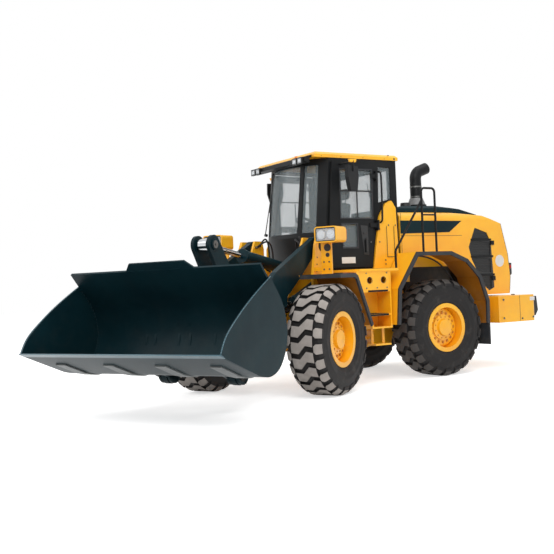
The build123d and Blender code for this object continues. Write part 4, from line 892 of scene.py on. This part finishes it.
# %% Ladders: tread strips, noses, rings and bolts
HOLE_R = 0.047  # the holes in a ladder's side sheet
for side, hand in HANDS:
    mesh = bmesh.new()
    for z in (1.3435, 0.9985):
        for step in range(9):
            y = 0.865 + step * 0.032
            cuboid(mesh, (-0.47, hand * y, z), (-0.11, hand * (y + 0.018), z + 0.006))
    piece(f"ladder_grips_{side}", mesh, "rear", black, rounded=0.001)
    mesh = bmesh.new()
    for z in (1.3165, 0.9715):
        cuboid(mesh, (-0.47, hand * 1.1602, z), (-0.11, hand * 1.1650, z + 0.027))
    piece(f"ladder_noses_{side}", mesh, "rear", black, rounded=0.002)
    mesh = bmesh.new()
    for x, z in ((-0.46, 1.585), (-0.09, 1.585), (-0.46, 1.375), (-0.09, 1.375), (-0.28, 1.375)):
        bolt(mesh, (x, hand * 1.1565, z), (0, hand, 0), 0.008)
    for x in (-0.40, -0.15):
        angles = [tau * k / 24 for k in range(25)]
        rim = [(x + HOLE_R * cos(a), hand * 1.157, 1.485 + HOLE_R * sin(a)) for a in angles]
        for start, end in zip(rim, rim[1:]):
            bar(mesh, start, end, 0.003, sides=6)
    piece(f"ladder_bolts_{side}", mesh, "rear", zinc)
tell()

# %% [markdown]
# The deck over the rear wheel is bolted down in a line. A function that spreads bolts between two
# points is worth having, because the towers need it too.

# %% Deck bolts
def line_of_bolts(mesh, start, end, count, facing, size):
    """Bolts evenly spread between two points."""
    start, end = Vector(start), Vector(end)
    for k in range(count):
        bolt(mesh, start.lerp(end, (k + 0.5) / count), facing, size)


for side, hand in HANDS:
    mesh = bmesh.new()
    line_of_bolts(mesh, (-0.20, hand * 1.00, 1.6505), (-0.90, hand * 1.00, 1.6505), 4, (0, 0, 1), 0.006)
    piece(f"deck_bolts_{side}", mesh, "rear", zinc)
tell()

# %% [markdown]
# The inside of a fender's arch lies in shade. A thin sheet in a darker orange lies under the arch as painted shade,
# made by moving the arch's outline inwards and cutting a strip between the two lines. A rubber lip follows the inner
# edge.

# %% Painted shade under the arches
TOP = 1.875  # the arch's highest line
REAR_ARCH = [(-0.545, 0.830), (-0.590, 1.350), (-0.960, TOP), (-1.640, TOP), (-1.970, 1.750), (-2.240, 1.490),
             (-2.390, 1.100), (-2.380, 0.750)]
FRONT_ARCH = [(1.638, 1.592), (1.225, 1.592), (1.140, 1.560), (0.705, 0.880)]
# A darker orange that paints the shade under the fender arches.
shaded = paint("arch_painted_shade", (0.42, 0.150, 0.010), (0.30, 0.100, 0.008),
               dusty=0.30, gloss=0.5, coat=0.0, shine=0.2)


def beside_corners(line, by):
    """The same open line moved to its right, with its corners kept sharp."""
    moved = []
    for k, point in enumerate(line):
        before = (line[k] - line[k - 1]).normalized() if k else None
        after = (line[k + 1] - line[k]).normalized() if k + 1 < len(line) else None
        ways = [way for way in (before, after) if way is not None]
        sides = [Vector((way.y, -way.x)) for way in ways]
        lean = sum(sides, Vector((0, 0))).normalized()
        moved.append(point + lean * (by / lean.dot(sides[0])))
    return moved


for side, hand in HANDS:
    for name, arch, low_y, half, body in (("rear", REAR_ARCH, 0.745, REAR, "rear"),
                                          ("front", FRONT_ARCH, 0.645, FRONT, "front")):
        line = [Vector(p) for p in arch]
        upper, lower = beside_corners(line, -0.0245), beside_corners(line, -0.0275)
        mesh = bmesh.new()
        for k in range(len(line) - 1):
            prism(mesh, [tuple(upper[k]), tuple(upper[k + 1]), tuple(lower[k + 1]), tuple(lower[k])],
                  hand * low_y, hand * 1.238)
        piece(f"arch_painted_shade_{name}_{side}", mesh, body, shaded, half)
    lip = [(-1.30, 1.835), (-1.60, 1.825), (-1.88, 1.68), (-2.06, 1.48), (-2.14, 1.32)]
    tube(f"arch_lip_{side}", [(x, hand * 0.80, z) for x, z in lip], 0.012, "rear", edge_rubber)
tell()

# %% [markdown]
# Air goes into the hood through louvres. Each louvre is a thin bar that runs from one side of the
# grille's outline to the other, so a function finds where a level line cuts that outline.

# %% Hood: side grilles, seams and blank disc
HOOD_FACE = 0.7085  # just proud of the hood's side
SLATS, LOWEST_SLAT, SLAT_STEP = 38, 1.275, 0.026
GRILLE = [(-2.690, 2.270), (-2.960, 2.190), (-3.040, 2.030), (-3.080, 1.290), (-2.960, 1.240),
          (-2.840, 1.330), (-2.600, 1.750), (-2.540, 1.960)]


def chord(outline, z):
    """The lowest and highest x of an outline at a height."""
    cuts = []
    for (x0, z0), (x1, z1) in zip(outline, outline[1:] + outline[:1]):
        if (z0 - z) * (z1 - z) < 0:
            cuts.append(x0 + (x1 - x0) * (z - z0) / (z1 - z0))
    return min(cuts), max(cuts)


for side, hand in HANDS:
    mesh = bmesh.new()
    for step in range(SLATS):
        z = LOWEST_SLAT + step * SLAT_STEP
        x0, x1 = chord(GRILLE, z)
        bar(mesh, (x0 + 0.012, hand * HOOD_FACE, z), (x1 - 0.012, hand * HOOD_FACE, z), 0.0035, sides=6)
    piece(f"grille_slats_{side}", mesh, "hood", black_plastic)
    mesh = bmesh.new()
    for z in (2.075, 1.800, 1.500):
        x0, x1 = chord(GRILLE, z)
        cuboid(mesh, (x0 - 0.02, hand * 0.706, z - 0.016), (x1 + 0.005, hand * 0.724, z + 0.016))
        for x in (x0 + 0.01, x1 - 0.02):
            bolt(mesh, (x, hand * 0.724, z), (0, hand, 0), 0.006)
    for z in (2.02, 1.44):
        cuboid(mesh, (-3.10, hand * 0.708, z - 0.035), (-3.03, hand * 0.728, z + 0.035))
    piece(f"grille_bars_{side}", mesh, "hood", black, rounded=0.003)
    mesh = bmesh.new()
    bar(mesh, (-3.225, hand * HOOD_FACE, 1.72), (-3.225, hand * 0.7125, 1.72), 0.098, sides=48)
    piece(f"blank_disc_{side}", mesh, "hood", white_plate)
    mesh = bmesh.new()
    y0, y1 = hand * HOOD_FACE, hand * 0.7118
    cuboid(mesh, (-2.40, y0, 2.1435), (-1.13, y1, 2.1485))
    prism(mesh, [(-1.150, 2.500), (-1.144, 2.500), (-1.144, 1.665), (-1.150, 1.665)], y0, y1)
    piece(f"hood_seams_{side}", mesh, "hood", black_plastic)
tell()

# %% [markdown]
# A dark trim follows the hood's rear edge, and each tail lamp has a red, an amber and a clear lens. The
# lenses are plain boxes with rounded edges: their colour does the work.

# %% Hood: rear edge and tail lamps
tail = [(-3.281, 2.338), (-3.421, 1.830), (-3.461, 1.450), (-3.432, 1.190)]
mesh = bmesh.new()
for hand in (-1, 1):
    for (x0, z0), (x1, z1) in zip(tail, tail[1:]):
        bar(mesh, (x0, hand * 0.706, z0), (x1, hand * 0.706, z1), 0.006, sides=8)
piece("hood_rear_trim", mesh, "hood", black_plastic)
red, amber, white = bmesh.new(), bmesh.new(), bmesh.new()
for hand in (-1, 1):
    y = hand * 0.620
    cuboid(red, (-3.536, y - 0.048, 1.610), (-3.528, y + 0.048, 1.672))
    cuboid(amber, (-3.536, y - 0.048, 1.552), (-3.528, y + 0.048, 1.604))
    cuboid(white, (-3.536, y - 0.048, 1.506), (-3.528, y + 0.048, 1.546))
    cuboid(red, (-3.52, hand * 0.678, 1.59), (-3.48, hand * 0.686, 1.65))
piece("tail_lenses_red", red, "hood", red_lens, rounded=0.003)
piece("tail_lenses_amber", amber, "hood", amber_lens, rounded=0.003)
piece("tail_lenses_clear", white, "hood", white_plate, rounded=0.003)
tell()

# %% [markdown]
# The pipe stands on a cast cone, is held by two clamps, and has the round cap of the air intake before
# it. All of them are cones and bars about an upright line.

# %% Exhaust: base, clamps and the cap of the air intake
PIPE_X = -2.095
base_metal = metal("cast_base", (0.20, 0.20, 0.20), 0.5, 0.1, 0.6)
mesh = bmesh.new()
bar(mesh, (PIPE_X, 0, 2.660), (PIPE_X, 0, 2.815), 0.168, 0.106, sides=48)
piece("exhaust_base", mesh, "hood", base_metal)
mesh = bmesh.new()
for z in (2.825, 2.99):
    bar(mesh, (PIPE_X, 0, z), (PIPE_X, 0, z + 0.022), 0.099, sides=48)
bolt(mesh, (PIPE_X, 0.104, 2.836), (1, 0, 0), 0.008)
piece("exhaust_clamps", mesh, "hood", zinc)
mesh = bmesh.new()
bar(mesh, (-1.60, 0.30, 2.515), (-1.60, 0.30, 2.64), 0.055, sides=32)
bar(mesh, (-1.60, 0.30, 2.63), (-1.60, 0.30, 2.70), 0.085, 0.078, sides=32)
piece("air_intake_cap", mesh, "hood", black_plastic, rounded=0.006)
tell()

# %% [markdown]
# The counterweight is a heavy casting, bolted on from both sides, with a pin for towing in its tail.
# Where a maker would put a plate with letters, this one has a blank.

# %% Counterweight: blank plate, seams, bolts and hitch pin
WEIGHT_FACE = 1.2005  # just proud of its side
for side, hand in HANDS:
    y0, y1 = hand * WEIGHT_FACE, hand * (WEIGHT_FACE + 0.0035)
    mesh = bmesh.new()
    cuboid(mesh, (-3.465, y0, 1.055), (-3.355, y1, 1.115))
    piece(f"blank_plate_{side}", mesh, "rear", white_plate, rounded=0.002)
    mesh = bmesh.new()
    for x, z in ((-3.42, 0.79), (-3.17, 0.775), (-2.76, 0.80), (-2.76, 1.09)):
        bolt(mesh, (x, hand * 1.2015, z), (0, hand, 0), 0.012)
    cuboid(mesh, (-3.125, y0, 0.735), (-3.121, y1, 1.148))
    piece(f"counterweight_bolts_{side}", mesh, "rear", zinc)
mesh = bmesh.new()
bar(mesh, (-3.55, 0.0, 0.79), (-3.55, 0.0, 1.145), 0.028)
bar(mesh, (-3.55, 0.0, 1.13), (-3.55, 0.0, 1.150), 0.045)
for hand in (-1, 1):
    bar(mesh, (-3.30, hand * 0.90, 1.149), (-3.30, hand * 0.90, 1.168), 0.030, sides=24)
piece("hitch_pin", mesh, "rear", steel, rounded=0.003)
tell()

# %% [markdown]
# ## The front half
# The front half carries the tower, the lamps and most of the hoses. A headlamp is a mirror behind
# glass: a bright cone in a dark ring reads as one from any side, and needs no light of its own. The
# lamp stands on a post with two holes and four bolts.

# %% Headlamps: reflectors, glass, surround and post
LAMP_Z, POST_FACE = 2.125, 1.2155
for side, hand in HANDS:
    bowls, rings, clear = bmesh.new(), bmesh.new(), bmesh.new()
    for y in (0.848, 0.992):
        bar(bowls, (1.325, hand * y, LAMP_Z), (1.366, hand * y, LAMP_Z), 0.030, 0.060, sides=32)
        bar(rings, (1.318, hand * y, LAMP_Z), (1.360, hand * y, LAMP_Z), 0.069, sides=32)
    for k in range(7):
        z = 2.06 + k * 0.0215
        cuboid(bowls, (1.323, hand * 0.912, z), (1.345, hand * 0.928, z + 0.012))
    cuboid(clear, (1.369, hand * 0.776, 2.040), (1.3735, hand * 1.064, 2.210))
    piece(f"headlamp_mirrors_{side}", bowls, "front", reflector, FRONT)
    piece(f"headlamp_rings_{side}", rings, "front", black_plastic, FRONT)
    piece(f"headlamp_glass_{side}", clear, "front", lens_clear, FRONT, rounded=0.012, segments=4)
    mesh = bmesh.new()
    for y0, y1, z0, z1 in ((0.768, 1.072, 2.0325, 2.046), (0.768, 1.072, 2.204, 2.2175),
                           (0.768, 0.781, 2.0325, 2.2175), (1.059, 1.072, 2.0325, 2.2175)):
        cuboid(mesh, (1.322, hand * y0, z0), (1.377, hand * y1, z1))
    piece(f"headlamp_surround_{side}", mesh, "front", black_plastic, FRONT, rounded=0.004)
    # The post's holes are black discs on its face: painted shade where the post is hollow.
    mesh = bmesh.new()
    for z, radius in ((1.955, 0.052), (1.855, 0.030)):
        bar(mesh, (POST_FACE, hand * 0.86, z), (POST_FACE + 0.003, hand * 0.86, z), radius, sides=32)
    piece(f"headlamp_post_hole_shade_{side}", mesh, "front", black_plastic, FRONT)
    mesh = bmesh.new()
    for y, z in ((0.80, 1.66), (0.88, 1.66), (0.80, 1.76), (0.88, 1.76)):
        bolt(mesh, (POST_FACE, hand * y, z), (1, 0, 0), 0.009)
    piece(f"headlamp_post_bolts_{side}", mesh, "front", zinc, FRONT)
    mesh = bmesh.new()
    cuboid(mesh, (1.06, hand * 1.077, 2.06), (1.078, hand * 1.084, 2.19))
    piece(f"turn_lamp_{side}", mesh, "front", amber_lens, FRONT, rounded=0.003)
tell()

# %% [markdown]
# A pin is kept in its bore by a plate with bolts, and a nipple in the middle takes grease. The bores are
# in the solid, so only what closes them is made here.

# %% Tower bolts and pin covers
def pin_cover(mesh, x, z, hand, y, radius):
    """A keeper plate over the end of a pin, with its bolts and grease nipple."""
    bar(mesh, (x, hand * y, z), (x, hand * (y + 0.008), z), radius, sides=32)
    bar(mesh, (x, hand * (y + 0.008), z), (x, hand * (y + 0.018), z), radius * 0.35, radius * 0.3, sides=20)
    bolt_circle(mesh, (x, hand * (y + 0.008), z), radius * 0.68, 3, hand, 0.010, 0.5)


TOWER_FACE = 0.640
for side, hand in HANDS:
    mesh = bmesh.new()
    pin_cover(mesh, 0.970, 2.000, hand, TOWER_FACE, 0.082)
    pin_cover(mesh, 0.820, 1.510, hand, TOWER_FACE, 0.072)
    piece(f"tower_pins_{side}", mesh, "front", black, FRONT)
    mesh = bmesh.new()
    y = hand * (TOWER_FACE + 0.0005)
    line_of_bolts(mesh, (0.735, y, 1.32), (1.20, y, 1.32), 6, (0, hand, 0), 0.010)
    line_of_bolts(mesh, (1.18, y, 1.40), (1.10, y, 1.88), 5, (0, hand, 0), 0.008)
    piece(f"tower_bolts_{side}", mesh, "front", zinc, FRONT)
tell()

# %% [markdown]
# Between the towers sit the valves that send oil to the cylinders, under bent covers with fittings on
# them. The cab's front corners sweep past when the machine bends, so all of it stays clear of them.

# %% Valve covers between the towers
VALVES = FRONT @ Matrix.Translation((0.04, 0, 0))  # a little ahead, out of the cab's way
mesh = bmesh.new()
for hand in (-1, 1):
    cuboid(mesh, (0.745, hand * 0.14, 1.541), (0.90, hand * 0.34, 1.72))
    prism(mesh, [(0.76, 1.72), (0.86, 1.72), (0.84, 2.00), (0.80, 2.05), (0.765, 2.00)], hand * 0.300, hand * 0.318)
    prism(mesh, [(0.96, 1.541), (1.07, 1.541), (1.05, 1.70), (0.98, 1.74)], hand * 0.235, hand * 0.255)
    cuboid(mesh, (0.80, hand * 0.18, 1.72), (0.88, hand * 0.29, 1.80))
piece("valve_covers", mesh, "front", yellow, VALVES, rounded=0.008)
mesh = bmesh.new()
for hand in (-1, 1):
    for x, y in ((0.765, 0.16), (0.88, 0.16), (0.765, 0.325), (0.88, 0.325)):
        bolt(mesh, (x, hand * y, 1.72), (0, 0, 1), 0.009)
    for y in (0.17, 0.23, 0.29):
        for z in (1.60, 1.68):
            bar(mesh, (0.90, hand * y, z), (0.928, hand * y, z), 0.017, sides=6)
    for y in (0.205, 0.265):
        bar(mesh, (0.84, hand * y, 1.80), (0.84, hand * y, 1.83), 0.017, sides=6)
    for x, z in ((1.02, 2.03), (0.94, 2.05), (1.06, 1.90), (1.04, 1.62)):
        bar(mesh, (x, hand * 0.350, z), (x, hand * 0.386, z), 0.019, sides=6)
piece("valve_fittings", mesh, "front", zinc, VALVES)
tell()

# %% [markdown]
# Oil goes from the valves to the tower in rubber hoses. A hose is stiff, so it leaves its fitting
# straight and bends once. Points along each run steer a smooth curve with a thickness, and both ends
# lie inside a fitting, so that none hangs free.

# %% Hoses over the front frame
HOSES = [  # how each runs on the left side, from a fitting on the valves to one on the tower
    [(0.84, 0.265, 1.82), (0.84, 0.266, 1.98), (0.86, 0.270, 2.13), (0.93, 0.285, 2.16), (0.95, 0.320, 2.10),
     (0.94, 0.360, 2.05)],
    [(0.84, 0.205, 1.82), (0.84, 0.206, 1.96), (0.88, 0.210, 2.09), (0.97, 0.240, 2.12), (1.01, 0.300, 2.07),
     (1.02, 0.360, 2.03)],
    [(0.92, 0.29, 1.68), (1.00, 0.292, 1.69), (1.08, 0.300, 1.76), (1.09, 0.320, 1.85), (1.06, 0.360, 1.90)],
    [(0.92, 0.23, 1.68), (1.02, 0.232, 1.70), (1.12, 0.250, 1.80), (1.12, 0.300, 1.91), (1.06, 0.350, 1.90)],
    [(0.92, 0.29, 1.60), (0.97, 0.292, 1.595), (1.03, 0.310, 1.60), (1.05, 0.335, 1.61), (1.04, 0.360, 1.62)],
]
for number, points in enumerate(HOSES, 1):
    for side, hand in HANDS:
        tube(f"hose_{number}_{side}", [(x, hand * y, z) for x, y, z in points], 0.0125, "front", hose_rubber,
             VALVES)
tell()

# %% [markdown]
# The boom's plates are thicker round each pin, and a steel line brings grease along each arm. A flat
# cap with three bolts closes the pin at the bucket.

# %% Boom: bosses, pin covers and grease lines
def bolted_cap(mesh, x, z, radius, hand, low, high, size):
    """A flat cap over a pin's end, held by three bolts."""
    bar(mesh, (x, hand * low, z), (x, hand * high, z), radius, sides=32)
    bolt_circle(mesh, (x, hand * high, z), radius * 0.6, 3, hand, size)


BUCKET_PIN = (3.020, 0.420)
for side, hand in HANDS:
    mesh = bmesh.new()
    bolted_cap(mesh, *BUCKET_PIN, 0.080, hand, 0.596, 0.602, 0.010)
    piece(f"bucket_pin_cover_{side}", mesh, "bucket", black, FRONT)
    mesh = bmesh.new()
    for x, z in ((0.970, 2.000), (1.920, 1.130)):
        bar(mesh, (x, hand * 0.550, z), (x, hand * 0.556, z), 0.080, sides=32)
    piece(f"boom_bosses_{side}", mesh, "boom", teal, FRONT)
    line = [(1.10, 1.960), (1.50, 1.700), (1.90, 1.520), (2.10, 1.44)]
    tube(f"grease_line_{side}", [(x, hand * 0.4665, z) for x, z in line], 0.006, "boom", hose_rubber,
         FRONT)
tell()

# %% [markdown]
# The bell crank swings on a pin through the boom and pulls the bucket by a link. The ends of its pins
# stick out a little, and a cap closes the one that it swings on.

# %% Bell crank and its pins
tips, covers = bmesh.new(), bmesh.new()
for hand in (-1, 1):
    bar(tips, (2.850, hand * 0.155, 2.010), (2.850, hand * 0.161, 2.010), 0.050, sides=32)
    bar(tips, (2.850, hand * 0.161, 2.010), (2.850, hand * 0.170, 2.010), 0.016, sides=12)
    bolted_cap(covers, 2.420, 1.330, 0.072, hand, 0.190, 0.197, 0.009)
piece("crank_top_pin", tips, "bell_crank", zinc, FRONT)
piece("crank_pin_covers", covers, "boom", black, FRONT)
tell()

# %% [markdown]
# ## The bucket
# A bucket is rolled and welded from thick plate, so its heel is one smooth curve. The solid has that
# curve in flat steps. Here a curve is led through the same corners, and the plates are cut again
# along it. The lip stays as it is, and gets its bolts.

# %% A smooth line through corners
def smooth_line(corners, steps=7):
    """Points on a curve through all corners but the first and the last, which only steer it."""
    found = []
    for k in range(1, len(corners) - 2):
        p0, p1, p2, p3 = (Vector(p) for p in corners[k - 1:k + 3])
        for step in range(steps):
            t = step / steps
            found.append(0.5 * (2 * p1 + (p2 - p0) * t + (2 * p0 - 5 * p1 + 4 * p2 - p3) * t ** 2
                                + (3 * p1 - p0 - 3 * p2 + p3) * t ** 3))
    found.append(Vector(corners[-2]))
    return found


def beside_curve(line, by):
    """A line of close points moved to its right by a thickness, square to its neighbours."""
    moved = []
    for k, point in enumerate(line):
        way = (line[min(k + 1, len(line) - 1)] - line[max(k - 1, 0)]).normalized()
        moved.append(point + Vector((way.y, -way.x)) * by)
    return moved


HEEL = smooth_line([(4.180, 0.617), (3.950, 0.528), (3.720, 0.492), (3.520, 0.560), (3.375, 0.740),
                    (3.320, 0.980), (3.400, 1.270), (3.620, 1.545), (3.775, 1.722)])
FRONT_EDGE = smooth_line([(3.250, 1.760), (3.620, 1.570), (3.990, 1.365), (4.280, 1.175), (4.510, 0.990),
                          (4.625, 0.815), (4.700, 0.640)])
BUCKET_HALF, BUCKET_T = 1.403, 0.028  # half its width, and its plate's thickness
LIP, BACK_TOP = Vector((4.560, 0.765)), Vector((3.775, 1.722))
print("heel of", len(HEEL), "points, side edge of", len(FRONT_EDGE))

# %% [markdown]
# The back is one plate between two lines, the sides are flat plates with the same curve, and ears with
# rings hold the pins. A guard stands on the back's upper edge. The plates overlap at the welds, which
# is simpler than one closed skin and looks the same.

# %% Plates of the bucket
shell = [LIP] + HEEL + [BACK_TOP]
thick = beside_curve(shell, BUCKET_T)
mesh = bmesh.new()
prism(mesh, [tuple(p) for p in shell + thick[::-1]], BUCKET_T - BUCKET_HALF, BUCKET_HALF - BUCKET_T)
side_plate = [tuple(p) for p in [LIP] + HEEL[:-1] + FRONT_EDGE]
ear = [(2.960, 0.310), (3.535, 0.565), (3.392, 0.745), (3.338, 0.985), (3.050, 0.545), (2.930, 0.500)]
link_ear = [(3.020, 0.810), (3.080, 0.780), (3.382, 0.800), (3.339, 0.985), (3.362, 1.065), (3.100, 0.945),
            (3.040, 0.930)]
pin_x, pin_z = BUCKET_PIN
for hand in (-1, 1):
    prism(mesh, side_plate, hand * BUCKET_HALF, hand * (BUCKET_HALF - BUCKET_T))
    for y0, y1 in ((0.423, 0.458), (0.562, 0.597)):
        prism(mesh, ear, hand * y0, hand * y1)
        bar(mesh, (pin_x, hand * y0, pin_z), (pin_x, hand * y1, pin_z), 0.118, sides=40)
    bar(mesh, (pin_x, hand * 0.458, pin_z), (pin_x, hand * 0.562, pin_z), 0.045, sides=24)
    prism(mesh, link_ear, hand * 0.066, hand * 0.100)
    bar(mesh, (3.080, hand * 0.066, 0.870), (3.080, hand * 0.100, 0.870), 0.088, sides=32)
guard_up, guard_out = Vector((0.61, 0, 0.79)), Vector((0.79, 0, -0.61)) * 0.020
guard = ((-0.5, -0.008), (-0.4, 0.1), (0.4, 0.1), (0.5, -0.008))  # how far across, and how far up
slab(mesh, [Vector((BACK_TOP.x, y, BACK_TOP.y)) + guard_up * up for y, up in guard], guard_out)
made = piece("bucket_plates", mesh, "bucket", teal, FRONT, smooth=True)
made.data.set_sharp_from_angle(angle=radians(25))
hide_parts("bucket")
tell()

# %% [markdown]
# its lip. The rounded front edges of its sides catch the light, and a paler teal bar along each is a painted
# highlight. A bead of weld runs where the back meets the sides.

# %% Painted edge highlights, wear strips, welds and lip bolts
# A paler teal bar along each side's front edge: a painted highlight where the rounded plate catches the light.
mesh = bmesh.new()
for hand in (-1, 1):
    line = [(p.x - 0.006, hand * (BUCKET_HALF - 0.012), p.y - 0.006) for p in FRONT_EDGE]
    for a, b in zip(line, line[1:]):
        bar(mesh, a, b, 0.0118, sides=12)
piece("bucket_side_edge_highlights", mesh, "bucket", teal_wear_and_highlight, FRONT, smooth=True)

mesh = bmesh.new()
inner = beside_curve(shell[1:-2], BUCKET_T)
for hand in (-1, 1):
    y = hand * (BUCKET_HALF - BUCKET_T - 0.001)
    for a, b in zip(inner, inner[1:]):
        bar(mesh, (a.x, y, a.y), (b.x, y, b.y), 0.008, sides=6)
piece("bucket_welds", mesh, "bucket", teal, FRONT, smooth=True)

mesh = bmesh.new()
strip = [tuple(p) for p in HEEL if p.x > 3.62]
lower = [(x - 0.002, z - 0.014) for x, z in strip]
for y in (-1.10, -0.37, 0.37, 1.10):
    prism(mesh, strip + lower[::-1], y - 0.075, y + 0.075)
    prism(mesh, [(3.955, 0.528), (4.30, 0.662), (4.305, 0.648), (3.955, 0.512)], y - 0.075, y + 0.075)
piece("bucket_wear_strips", mesh, "bucket", steel, FRONT)

EDGE_FROM, EDGE_TO = Vector((4.310, 0, 0.680)), Vector((4.640, 0, 0.812))
lip_up = Vector(((EDGE_FROM - EDGE_TO).z, 0, (EDGE_TO - EDGE_FROM).x)).normalized()
mesh = bmesh.new()
for k in range(17):
    y = -1.28 + k * 0.16
    bolt(mesh, EDGE_FROM.lerp(EDGE_TO, 0.80) + Vector((0, y, 0)), lip_up, 0.014)
piece("lip_bolts", mesh, "bucket", teal, FRONT)
tell()

# %% [markdown]
# ## Studio
# A machine is shown on a pale floor that runs into a pale backdrop. Strong lights would bleach them,
# and the paint with them, so their white comes from what the camera sees: rays that come from the
# camera, from a mirror or through a pane find white, and rays that carry light find grey.

# %% World
DIM = 0.55  # the light that the world gives, where white is 1


def clear_view(recipe):
    """1 for rays from the camera, a mirror or a pane, 0 for those that carry light."""
    kinds = [recipe.node("ShaderNodeLightPath", {}, give=f"Is {kind} Ray")
             for kind in ("Camera", "Transmission", "Glossy")]
    return kinds[0].or_else(kinds[1]).or_else(kinds[2])


world = bpy.data.worlds.new("studio")
bpy.context.scene.world = world
backdrop = Recipe("studio", world, "Background")
backdrop.set(Color=(1, 1, 1), Strength=clear_view(backdrop) * (1 - DIM) + DIM)
print("world: white to the camera,", DIM, "of white as light")

# %% [markdown]
# The floor is a wide square that catches the shadow. It glows a little to the same rays, so that it
# meets the backdrop without a line, and the shadow still darkens it.

# %% Floor
FLOOR_HALF, FLOOR_GLOW = 60, 0.55
mesh = bmesh.new()
bmesh.ops.create_grid(mesh, x_segments=1, y_segments=1, size=FLOOR_HALF)
data = bpy.data.meshes.new("floor")
mesh.to_mesh(data)
mesh.free()
floor = bpy.data.objects.new("floor", data)
bpy.context.scene.collection.objects.link(floor)
floor_paint = Recipe("floor_white")
floor_paint.set(Base_Color=(0.9, 0.9, 0.9), Roughness=0.9, Emission_Color=(1, 1, 1),
                Emission_Strength=clear_view(floor_paint) * FLOOR_GLOW)
data.materials.append(floor_paint.material)
print("floor:", 2 * FLOOR_HALF, "m wide")

# %% [markdown]
# One large lamp ahead and to the left shapes the machine, a weaker one fills its dark side, and one
# from above brings out the roof and the hood. Large lamps give soft shadows.

# %% Lamps
def lamp(name, at, target, size, power):
    """A soft square light."""
    made = bpy.data.lights.new(name, "AREA")
    made.size = size
    made.energy = power
    holder = bpy.data.objects.new(name, made)
    bpy.context.scene.collection.objects.link(holder)
    holder.location = at
    holder.rotation_euler = (Vector(target) - Vector(at)).to_track_quat("-Z", "Y").to_euler()
    print("lamp", name, power, "W")


lamp("key", (6, 9, 9), (0, 0, 1), 7, 900)
lamp("fill", (9, -6, 6), (0, 0, 1), 8, 350)
lamp("top", (-3, 2, 12), (0, 0, 0), 9, 500)
bpy.context.scene.view_settings.view_transform = "Standard"
